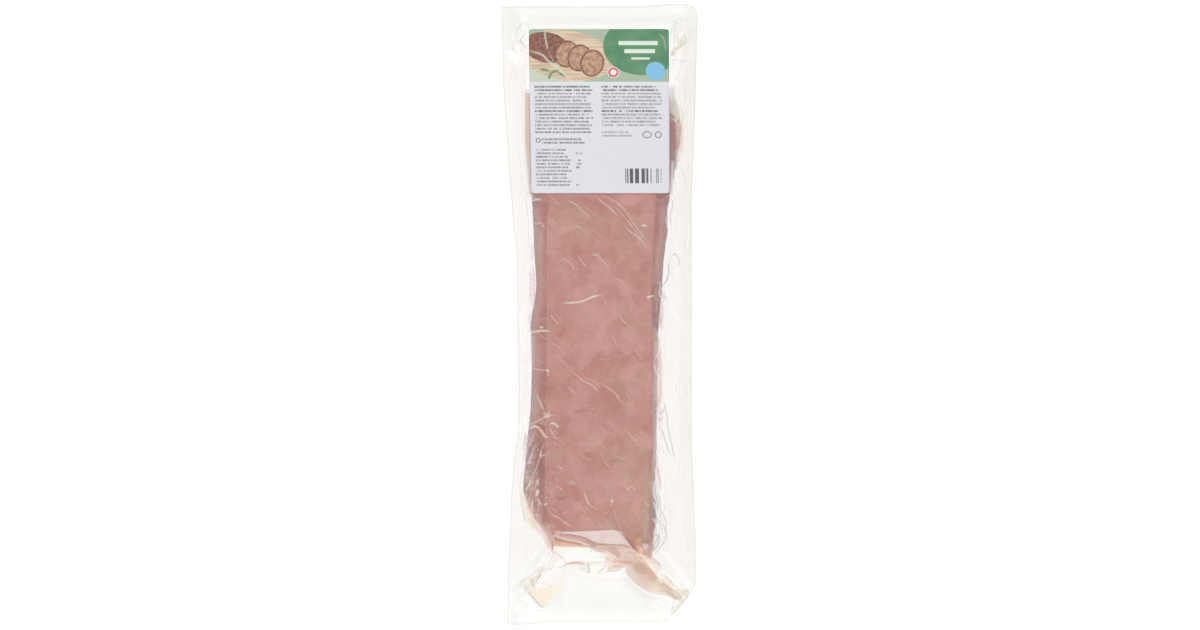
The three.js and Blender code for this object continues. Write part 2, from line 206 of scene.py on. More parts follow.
# Creases of the film as smooth lines through points of (x, y), first those over the flat top.
TOP_CREASES = [
    ("cream", [(-26.5, 8.2), (-18.9, 8.4), (-12.5, 9.3), (-6.8, 11.8), (-1, 13.6), (2.5, 13)]),
    ("wide", [(-16.1, 8.2), (-11.8, 3.2), (-5.4, -2.5)]),
    ("faint", [(1.8, 13), (3.8, 10), (4.6, 6)]),
    ("faint", [(-34, 83.6), (-27.4, 77.6)]),
    ("bright", [(-22.9, 81.4), (-16.9, 78.4), (-10.9, 72.4), (-4.9, 67.9)]),
    ("faint", [(-11.6, 76.9), (-6, 73.6), (-1.9, 69.4)]),
    ("bright", [(1.1, 85), (7, 82.6), (13.2, 79), (19.2, 72.4), (25.2, 63.3), (34.2, 52.8)]),
    ("bright", [(-2.6, 83.6), (2, 79.8), (7.2, 75.4), (14.7, 69.4)]),
    ("bright", [(19.2, 61.2), (26.7, 55), (35, 47.6)]),
    ("faint", [(17.6, 64.4), (22.4, 58.6), (29.6, 54.4), (33, 50)]),
    ("faint", [(10.4, 77), (16, 71.6), (21, 65.4), (26.4, 58.6), (32.8, 53.4)]),
    ("faint", [(4, 80.2), (8.6, 75.3), (12.2, 70.4)]),
    ("faint", [(20.4, 66.8), (24.6, 60.8), (30.2, 51.8)]),
    ("faint", [(-19.9, 64.9), (-14, 61.4), (-7.9, 57.3)]),
    ("faint", [(-4.9, 61.8), (0.4, 55.8)]),
    ("cream", [(29.6, 63.2), (31.6, 63.3), (33.9, 62.8)]),
    ("bright", [(-27.4, 40.8), (-21.4, 37), (-16.9, 31)]),
    ("bright", [(-15.4, 42.3), (-12.6, 37.6), (-8.6, 33.3)]),
    ("bright", [(-5.9, 45.4), (-0.4, 40.2), (4.1, 36.3), (7.2, 31)]),
    ("faint", [(-5.6, 41.4), (-0.6, 42.4), (1.4, 39.2)]),
    ("faint", [(11.4, 26), (14.7, 24.3), (17.6, 22.6)]),
    ("faint", [(14.6, 27.4), (14.9, 24), (16.6, 20)]),
    ("bright", [(-34.9, 0.4), (-32.4, -3.4), (-28.4, -7.8)]),
    ("faint", [(11.7, 1.7), (15, -2.6), (19.2, -7.3)]),
    ("faint", [(14.6, -1.4), (20.8, -9)]),
    ("faint", [(19.9, -5.4), (25.2, -11.4)]),
    ("wide", [(-19, 5), (-13, 2.4), (-7, -1.6)]),
    ("faint", [(-34.2, -20.4), (-30, -22.6), (-25.9, -26.4)]),
    ("faint", [(-31, -28.4), (-26.4, -33.6), (-21.4, -38.5)]),
    ("bright", [(-21.4, -40), (-16, -43.4), (-10.9, -47.5), (-4.9, -50.5), (1.1, -56.5)]),
    ("faint", [(-10, -45.4), (-4.4, -47), (0.6, -51.6)]),
    ("bright", [(1.1, -48.4), (6.4, -52.4), (11.7, -56.5), (14, -60.4), (17.7, -63.6)]),
    ("faint", [(-22.9, -50.5), (-19.4, -53.4), (-15.4, -58)]),
    ("wide", [(-15.4, -61.8), (-9.4, -64.4), (-3.4, -63.4)]),
    ("wide", [(-2, -31), (4.6, -31.8), (8, -30.4)]),
    ("faint", [(8.6, -14.4), (13.2, -23.4)]),
    ("faint", [(21.4, -28), (26.6, -32.6), (32.7, -40)]),
    ("faint", [(25.2, -23.4), (28.2, -29.4), (33, -33.4)]),
    ("dark", [(-19.1, -69.3), (-13, -68.4), (-7.9, -68.7)]),
    ("bright", [(19.2, -82.8), (23.4, -87), (27.6, -91.6)]),
    ("bright", [(-29.7, -107.6), (-25.8, -110.4)]),
    ("bright", [(-31.3, -121.2), (-28.4, -123), (-25.8, -125.6)]),
    ("faint", [(2.6, -103.9), (7.9, -109.1)]),
    ("dark", [(6.4, -104.6), (13, -104.4), (19.2, -105.4)]),
    ("wide", [(-22.9, -118.9), (-15.4, -121.9), (-12.4, -125.7)]),
    ("faint", [(-10.9, -125.7), (-7.1, -134.7), (-1.9, -139.2)]),
    ("wide", [(-1.9, -122.7), (5.6, -128), (13.2, -133.2)]),
    ("cream", [(8.4, -132), (9.4, -133.8)]),
    ("bright", [(16.9, -120.4), (19.6, -123.4), (22.2, -127.2)]),
    ("bright", [(19.4, -124.4), (23.4, -122.4), (25.6, -126)]),
    ("faint", [(25.9, -126.4), (29.4, -130), (32.7, -133.2)]),
    ("faint", [(-16.9, -133.2), (-13.4, -136.4), (-10.1, -140.7)]),
    ("bright", [(-34.4, -142.2), (-28.9, -144.5), (-25, -147.7), (-18.4, -152)]),
    ("faint", [(-8.6, -143.7), (-5.4, -148), (-1.9, -152)]),
    ("wide", [(7.2, -140.2), (9.4, -147), (13.2, -154.2)]),
    ("edge", [(-35.6, 85.4), (-35.6, 70), (-36.6, 58.9), (-36.1, 48), (-37.4, 38.9), (-36.6, 26),
      (-37.4, 10.4), (-36.5, 2), (-36.8, -11.1)]),
    ("edge", [(-37.7, -89.6), (-37.6, -132.4)]),
    ("edge", [(39.6, 84.6), (39.2, 72), (38.1, 53.2), (37.2, 28.2), (36.6, 12.5)]),
    ("edge", [(37.5, -2.5), (38.2, -25.3), (37.7, -61), (37.5, -89.6)]),
]

# Folds across the side bands and beside the meat.
SIDE_CREASES = [
    ("cream", [(-48.5, 81.5), (-44.5, 82), (-41, 81.9)]),
    ("pink", [(-48.2, 66), (-44.5, 64.6), (-41.4, 65.2), (-38.6, 61)]),
    ("white", [(-49.6, 85.3), (-50, 78.2), (-48.9, 63.9), (-49.3, 37.5), (-50.4, 28.2), (-50.6, 10.4)]),
    ("haze", [(-51.8, 88), (-52.4, 80), (-51.1, 70), (-51, 52)]),
    ("edge", [(-47.6, 36), (-46.6, 24), (-47.2, 8)]),
    ("grey", [(-49, 3), (-50.4, -3), (-49.2, -8), (-50.6, -14)]),
    ("cream", [(-49.6, -13.3), (-45.3, -12.1), (-40.4, -11.6), (-35.6, -11.6)]),
    ("cream", [(-42.6, -9.4), (-39.6, -9)]),
    ("faint", [(-44.5, -12.8), (-40.5, -15.8), (-36.3, -18.4)]),
    ("pink", [(-48.9, -38.4), (-44.4, -39.2), (-41.4, -39.4), (-37.2, -40)]),
    ("cream", [(-38, -38.4), (-35.6, -41.6)]),
    ("grey", [(-41.8, -33.2), (-39.6, -33.8), (-40.4, -35.6)]),
    ("grey", [(-42.6, -35.8), (-39, -36.6)]),
    ("pink", [(-45, -56), (-42.6, -62), (-39.6, -68)]),
    ("pink", [(-51.1, -78.6), (-46.8, -77.5), (-42.5, -75.2), (-38, -72.6), (-33.4, -72)]),
    ("cream", [(-50.6, -82.2), (-46.8, -79.9), (-43.6, -80.4), (-40.6, -84), (-38.4, -87.2),
      (-35.6, -87)]),
    ("cream", [(-35.4, -77.4), (-32, -77.6), (-28.6, -80.6)]),
    ("faint", [(-35.6, -79), (-33.8, -84), (-30.8, -88), (-27.2, -87.4)]),
    ("dark", [(-44, -76.4), (-41, -79.2), (-37.6, -84)]),
    ("grey", [(-52.6, -84), (-53.6, -90), (-54.6, -96)]),
    ("blush", [(-50.6, -84.6), (-52.4, -91), (-54.2, -97.4)]),
    ("blush", [(-41.5, -96.6), (-42.6, -102.1), (-44.6, -108.4), (-46.6, -113.9), (-47.7, -119.4),
      (-48.5, -124.9), (-49.3, -129.6), (-50.5, -135.9), (-49.7, -143.7)]),
    ("pink", [(-41.5, -96.2), (-41.9, -100.6), (-37.3, -99.2)]),
    ("blush", [(-48.5, -87.2), (-50.9, -94.3), (-52.5, -102.1)]),
    ("pink", [(-46.2, -93.5), (-47.7, -98.2), (-50.5, -105.3), (-51, -108)]),
    ("pink", [(-52.5, -106.8), (-50.1, -106.1), (-46.6, -105.7)]),
    ("haze", [(-53.6, -113.9), (-50.4, -112), (-47.7, -113.1)]),
    ("white", [(-52.8, -125.4), (-50.4, -122), (-48.8, -119.4)]),
    ("grey", [(-51.6, -122.8), (-49.6, -118.6)]),
    ("pink", [(-43, -117), (-45.4, -121.8), (-47, -126.5)]),
    ("cream", [(-43.4, -124.9), (-44.4, -129.6)]),
    ("pink", [(-45.4, -131.2), (-42.6, -133.1), (-42, -136)]),
    ("blush", [(-48.5, -84.8), (-51, -89.5), (-52.6, -96.6), (-53.4, -104)]),
    ("blush", [(-46.6, -84), (-47.8, -89.6), (-50.2, -95)]),
    ("blush", [(-47, -98.2), (-48.5, -102.9), (-50.2, -107.4)]),
    ("blush", [(-53.6, -110), (-51.4, -113.6), (-52.6, -118)]),
    ("thread", [(-50.4, -111.6), (-49, -114.8), (-50.8, -119), (-52.6, -122.6)]),
    ("haze", [(-49.2, -110.6), (-47.8, -114.4), (-49.6, -117)]),
    ("blush", [(-53, -127), (-50.2, -121.4), (-48.6, -116.4)]),
    ("blush", [(-46.4, -120.2), (-44.4, -118.4), (-43.8, -119.8)]),
    ("cream", [(-44.2, -124.2), (-45.4, -129.4)]),
    ("peach", [(-50.1, -149), (-48.9, -143), (-48.5, -137.5), (-47.6, -132.7)]),
    ("blush", [(-47, -143.2), (-44.6, -143), (-42.3, -143.9)]),
    ("thread", [(-47, -141.6), (-44.4, -141.2), (-42.6, -142.2)]),
    ("blush", [(-46.6, -132.4), (-48.2, -136), (-47.4, -139.6)]),
    ("faint", [(-45.6, -146.8), (-43, -149), (-41.6, -151.4)]),
    ("faint", [(-36.8, -148.6), (-35.6, -151.4), (-34.2, -149.4)]),
    ("faint", [(-30.9, -115.9), (-29.7, -118.4)]),
    ("faint", [(-26.6, -142.2), (-22.6, -139.6)]),
    ("faint", [(-36.6, -124.9), (-32.8, -128)]),
    ("faint", [(-35.2, -137.4), (-31.3, -139), (-29.6, -141.8)]),
    ("faint", [(-11, -124.2), (-9.4, -131.2), (-6.6, -137.4)]),
    ("faint", [(9.6, -138), (12.4, -146), (15.4, -153.6)]),
    ("faint", [(29.7, -114.4), (32, -119.7)]),
    ("cream", [(-39.7, -135.5), (-36.8, -134.3)]),
    ("haze", [(-57.9, -124.1), (-56.4, -129.6), (-54.8, -137.5), (-53.2, -145.3), (-50.1, -148.4),
      (-45.4, -151.6)]),
    ("haze", [(-55.6, -112.3), (-56.4, -117.8), (-57.5, -124.1)]),
    ("white", [(-53.6, -134.3), (-52.4, -138), (-50.9, -142.2), (-49.7, -147.7)]),
    ("peach", [(-52.6, -137.6), (-51.2, -143.6), (-49.4, -147)]),
    ("haze", [(-56.6, -131), (-54.6, -143), (-50.6, -150.6)]),
    ("blush", [(-46.6, -146), (-43.6, -151), (-40, -158), (-35.6, -166)]),
    ("white", [(46.7, 70.9), (47.9, 65.9), (49.4, 57.9)]),
    ("white", [(49.4, 79.9), (48.6, 74), (48.9, 68.9)]),
    ("white", [(48.4, 68.9), (49.6, 63.5), (50.4, 58.9)]),
    ("cream", [(51, 139.2), (53.4, 138.6), (54.8, 136.9)]),
    ("thread", [(50.8, 142), (53, 139.8), (52, 137)]),
    ("thread", [(52.4, 130.4), (54, 128.6), (52.6, 127)]),
    ("faint", [(53.4, 129.8), (54.8, 128.4)]),
    ("thread", [(55.2, 124.6), (56.6, 122), (56, 119.4)]),
    ("pink", [(55.6, 118), (57.8, 121), (58.4, 124.8)]),
    ("haze", [(50.8, 156), (53.6, 151.6), (56.4, 149.6), (59, 144), (59.6, 137), (58, 136)]),
    ("white", [(51.9, 108.6), (51.6, 100), (52.2, 90)]),
    ("grey", [(50.6, 84), (52.8, 78), (50.6, 72), (51.4, 60)]),
    ("cream", [(33.4, 12), (36.1, 12.9), (38.9, 13.2)]),
    ("grey", [(51.1, 41.1), (49.6, 35.3), (49.6, 28.9), (46.8, 22.5), (43.9, 19.6)]),
    ("grey", [(51.1, 41.1), (53.6, 43.4), (56.4, 40.6), (57, 34)]),
    ("line", [(49.4, 27.6), (46.8, 22.5), (43.8, 19.6)]),
    ("white", [(41, 24), (43.4, 20.6), (42.6, 14.6), (45.4, 10)]),
    ("pink", [(42.5, 10.4), (44.6, 7.5), (43.9, -2.5), (45.3, -11.1)]),
    ("white", [(43.4, 4), (46.4, -1), (45, -8), (46.4, -14)]),
    ("white", [(40.4, -12), (43, -20), (42, -27), (39, -33)]),
    ("white", [(38.6, -34), (40, -40), (42.2, -45), (41.4, -52), (43.4, -58)]),
    ("grey", [(40.3, -66.8), (43.2, -71), (46.1, -68.2), (46.8, -63.2)]),
    ("grey", [(46.8, -62.4), (48.2, -71.8), (49.6, -83.9), (52.5, -96.7), (54.6, -106.7)]),
    ("grey", [(41.1, -76), (44.6, -82.5), (47.5, -91), (49.6, -98.2), (51.8, -101)]),
    ("white", [(39, -67), (42, -70), (41, -76), (43.4, -84)]),
    ("pink", [(38.2, -89.6), (39.6, -103.9), (42.5, -113.9), (43.9, -126.7)]),
    ("white", [(41, -92), (42.6, -106), (43, -118)]),
    ("white", [(39.6, -125.3), (41.8, -130.3), (42.5, -139.6), (46.1, -146.7), (45.3, -155.3),
      (43.2, -164.6), (40.3, -168.9)]),
    ("grey", [(40.4, -124), (42.8, -131), (43.6, -139.6), (47.4, -147), (46.8, -156), (44.8, -163.6)]),
    ("white", [(37.5, -132.4), (40.3, -138.2), (41.1, -150.3), (43.9, -157.4), (41.8, -166.7)]),
    ("grey", [(39.2, -126), (40.4, -130), (41.6, -134), (41.8, -139), (44, -144), (46, -147.6)]),
    ("white", [(37, -128.6), (39.4, -131), (40.4, -134), (40.2, -139), (42, -143)]),
    ("white", [(36.6, -145), (39, -146.6), (40.2, -149.6), (41.4, -152.6), (44, -155.6)]),
    ("white", [(40.6, -116), (38.8, -124), (40.6, -134)]),
]

# Creases of the gathered foot end, and of the ears at the labelled end.
END_CREASES = [
    ("umber", [(-27, -156.4), (-21.5, -156.6), (-15, -158), (-10.5, -159.7), (-6, -162), (-1, -163.4)]),
    ("fold", [(-2, -163.2), (3, -163.7), (8, -164.1), (17, -164.2), (20, -165.2), (22, -165.8)]),
    ("fold", [(-21.5, -156.6), (-12.5, -160.6), (-4, -164.8)]),
    ("cream", [(-33, -158), (-29.5, -158.5), (-23, -160.5), (-16.5, -161.5), (-10.5, -163.5), (-6, -166),
      (-5, -168.4)]),
    ("rose", [(-30, -157.9), (-24, -159.2), (-16, -160.4), (-10.5, -162.4)]),
    ("blush", [(-33, -158), (-30.5, -156.5), (-26, -155), (-21.5, -154.8)]),
    ("blush", [(-24, -154.8), (-12, -154.4), (9, -153.4), (12.6, -154.2), (18, -159.6), (25, -168.2)]),
    ("faint", [(-12.5, -163.4), (-9.4, -165.4), (-5.6, -167)]),
    ("fold", [(0.4, -167), (3.6, -167.2), (6, -168)]),
    ("thread", [(6, -168), (8.4, -169.2), (10.4, -170.4), (13.4, -173), (14.6, -174)]),
    ("thread", [(6, -168), (8, -166.4), (11, -166.2), (12.6, -168.6), (14.4, -171), (15, -173)]),
    ("fold", [(9.4, -166.5), (10.4, -168.6), (13, -171.6)]),
    ("fold", [(0.4, -165.5), (6, -165.6), (10, -165.2)]),
    ("fold", [(0.4, -169.2), (3.6, -169.2)]),
    ("fold", [(16.6, -172.3), (20.4, -172.3)]),
    ("fold", [(17, -174.2), (20.8, -174.3)]),
    ("thread", [(20, -169.8), (22.4, -169.9)]),
    ("fold", [(23.2, -171.6), (25, -173), (26.8, -174.8)]),
    ("thread", [(28, -172.5), (30, -173.5), (31.8, -174.8)]),
    ("thread", [(25, -175.2), (26.6, -175.8), (28.6, -176.6)]),
    ("fold", [(28, -175.6), (29.4, -177.2), (30.6, -178)]),
    ("blush", [(22.8, -172.2), (24.4, -174), (25.2, -176)]),
    ("blush", [(26.2, -171.6), (27.8, -173.4), (27, -176.4)]),
    ("blush", [(15.4, -175.1), (20, -175.2), (25, -175.7)]),
    ("blush", [(15.6, -170.8), (18.6, -171.2), (22, -170.8)]),
    ("thread", [(14.5, -176), (19, -175.9), (24, -176.3)]),
    ("fold", [(-0.6, -171.4), (4.4, -174.4), (9.4, -175.6), (14, -175.4)]),
    ("rose", [(8.5, -177), (17.5, -176.2), (25.5, -176.5)]),
    ("rose", [(14, -177.2), (20, -177.6), (24, -177.2)]),
    ("brown", [(-30, -170.5), (-27, -173.5), (-23.5, -177.5)]),
    ("brown", [(-34.5, -168), (-33, -169), (-31, -170)]),
    ("haze", [(-31, -170.4), (-28.4, -169.4), (-24, -169.8)]),
    ("thread", [(-33.6, -160.6), (-33.2, -164.4), (-34.2, -168)]),
    ("brown", [(-5.5, -167), (-6, -169.4)]),
    ("rose", [(-23, -178.6), (-18, -177.2), (-10.5, -178)]),
    ("brown", [(-30, -181.4), (-26, -179.8), (-23, -178), (-17, -176.7), (-9, -176.4)]),
    ("brown", [(-33.6, -165), (-33.8, -168.4), (-33.4, -171.6)]),
    ("peach", [(-34, -171.2), (-31.4, -170.6), (-29.4, -170.9)]),
    ("brown", [(-9, -176.6), (-3, -177), (7.5, -177.5)]),
    ("grey", [(-8, -176.5), (-8.1, -180.5), (-7.7, -186)]),
    ("grey", [(-7.2, -177), (-7.3, -181), (-7.1, -185.4)]),
    ("brown", [(5.2, -178.2), (2.7, -182.2), (-0.8, -184.8), (-3.3, -186.2)]),
    ("white", [(3.8, -178.4), (1.6, -181.4), (-2, -184)]),
    ("haze", [(8.4, -178.6), (6.4, -182.4), (2.6, -185), (-3, -186.6)]),
    ("thread", [(9, -180.4), (13.6, -179.4), (18.4, -180.2)]),
    ("haze", [(-34.5, -168), (-36.5, -171.5), (-39, -176.5), (-40.5, -181)]),
    ("white", [(-33.4, -169.4), (-36.4, -175), (-38.6, -181.4)]),
    ("brown", [(-41.6, -184.4), (-43, -187.2), (-45, -190.2), (-45.6, -193)]),
    ("brown", [(-42, -185.6), (-43.4, -188), (-44.8, -189.8)]),
    ("white", [(-39.8, -182), (-40.4, -186), (-42.4, -189.6), (-45, -192.6)]),
    ("haze", [(-39, -181.5), (-32, -181.5), (-25.5, -180), (-22, -179.5)]),
    ("thread", [(-33.2, -180.5), (-32.4, -180), (-31.8, -180.4)]),
    ("haze", [(-42.6, -180.4), (-46.6, -184.6), (-50.4, -187.6), (-55, -190.6), (-56.8, -194.4)]),
    ("haze", [(-41.6, -183.4), (-45.6, -187.6), (-50, -191.6)]),
    ("brown", [(-48.4, -188.6), (-47.4, -192.6), (-46, -195.6)]),
    ("haze", [(-50.4, -187.6), (-49, -191.6), (-46.8, -195.4)]),
    ("haze", [(-52.6, -192), (-51.6, -195.6), (-50.6, -198.4)]),
    ("brown", [(-51, -198.6), (-47, -203), (-43.5, -207), (-40, -210)]),
    ("grey", [(-50, -199.8), (-45, -205.4), (-39.8, -210.6)]),
    ("faint", [(-45, -192), (-39.5, -192.5), (-35, -194)]),
    ("thread", [(-35.9, -193.4), (-35.2, -194.2), (-34.4, -193.8)]),
    ("white", [(-44.6, -211.6), (-40.6, -213)]),
    ("line", [(39.8, -141), (42.6, -149.5), (44.6, -153.6), (45.6, -158)]),
    ("line", [(39.6, -128), (41.4, -134), (41.6, -141)]),
    ("line", [(42.8, -155.6), (41.6, -160), (39.2, -164.4), (37.6, -170)]),
    ("white", [(42, -146), (43, -149.5), (45.5, -153), (46.6, -157), (45, -163), (40.4, -168.6)]),
    ("grey", [(42.8, -147), (46, -152.5), (47.4, -157), (46, -163), (41.4, -168.8), (38.4, -171.4)]),
    ("haze", [(42.5, -146.5), (45.5, -150.5), (48.5, -155), (48, -163)]),
    ("grey", [(38.4, -160), (40.8, -157.6), (43, -160.4), (41, -166), (38.4, -169.4)]),
    ("haze", [(40, -162.4), (42.6, -158.4), (44.4, -154.8)]),
    ("peach", [(30.4, -171.8), (33, -174), (35.2, -176.8), (36.2, -179.8), (39, -183), (42.4, -184.8)]),
    ("peach", [(31.4, -172.8), (34, -175.4), (35.6, -178.6)]),
    ("brown", [(36.4, -172.6), (40, -175.4), (42.8, -178.6), (43.6, -182.4)]),
    ("thread", [(34.6, -178.6), (35.6, -181.6), (38.2, -184.4), (41.2, -186.6)]),
    ("peach", [(37, -180.6), (39.4, -182.4), (42.4, -184.2)]),
    ("brown", [(38.8, -175.8), (39.2, -177.8)]),
    ("brown", [(41, -176.8), (42.8, -177.6)]),
    ("peach", [(40.4, -189.4), (43, -190.7), (45, -191.2)]),
    ("peach", [(45.4, -190), (48.4, -192.2), (51, -194.6), (52.2, -197.8)]),
    ("peach", [(46, -190.8), (49, -193), (51.4, -195.8)]),
    ("peach", [(49.2, -190.4), (51.4, -192.8), (53, -194.2)]),
    ("thread", [(44.6, -191.5), (47.4, -193.6), (50, -195.5), (51.4, -197.8)]),
    ("brown", [(36.6, -189.8), (38.6, -191), (41.2, -190.6)]),
    ("brown", [(41.2, -190.6), (44.4, -193.8), (48, -197.4), (52.6, -201.4), (57, -204.6)]),
    ("brown", [(46, -185.2), (49.8, -189), (53.2, -193.2), (57, -195.6)]),
    ("haze", [(34, -198.4), (40, -199.6), (46, -200.2), (50.6, -202.2)]),
    ("brown", [(55.6, -198.6), (58.4, -202.6), (57, -207)]),
    ("haze", [(58.6, -202), (60, -198.6), (64, -196.6)]),
    ("brown", [(64.2, -198.8), (60.4, -204.4), (57, -208.6), (52.6, -214.6)]),
    ("haze", [(53.2, -203), (52.8, -207), (51.8, -211), (51.2, -215.2)]),
    ("white", [(53.8, -205), (54.4, -208)]),
    ("haze", [(-59.6, 196), (-58.9, 201.4), (-57.5, 205.3), (-53.2, 209.2), (-50.3, 207.4),
      (-51.8, 201.7)]),
    ("haze", [(-51.8, 201.7), (-56, 196.7), (-56.6, 192)]),
    ("haze", [(-56, 196.7), (-61, 193.1), (-62.1, 189.6), (-58.2, 187.4), (-54.6, 189.6),
      (-55.3, 194.6)]),
    ("brown", [(-57.2, 196.8), (-54.4, 193), (-51.4, 189.6)]),
    ("haze", [(50.6, 184.4), (53.6, 187.9), (56.6, 193.2), (55.6, 198)]),
    ("haze", [(57.4, 210.8), (59.8, 211)]),
    ("haze", [(54.6, 188.1), (60.3, 193.1), (61.8, 197.4), (58.9, 200.3)]),
    ("haze", [(50.8, 181.8), (55.5, 181.2), (63, 181.4)]),
    ("haze", [(55.4, 200.6), (56, 197.6), (56.8, 193.4)]),
    ("haze", [(53.6, 190), (53.8, 200), (54, 212)]),
]

# Pinched folds across the label, pale partly because the pinch hides the print and partly as a painted
# highlight along the fold: points, half width, colour and cover.
LABEL_FOLDS_AND_SHEEN = [
    ([(-39.3, 203.8), (-38.6, 197.4), (-36.8, 188.9)], 0.6, "D5DECB", 0.9),
    ([(-50.7, 188.5), (-41.1, 185.3), (-36.8, 181), (-28.2, 173.9), (-21.1, 167.4), (-18.2, 165.3)],
      0.65, "E6E3D4", 0.95),
    ([(42.6, 201), (46.1, 196), (47.5, 187.4)], 0.45, "D9D3C8", 0.5),
    ([(-36.6, 189), (-33, 180), (-31, 172)], 0.4, "C9D3BE", 0.45),
]
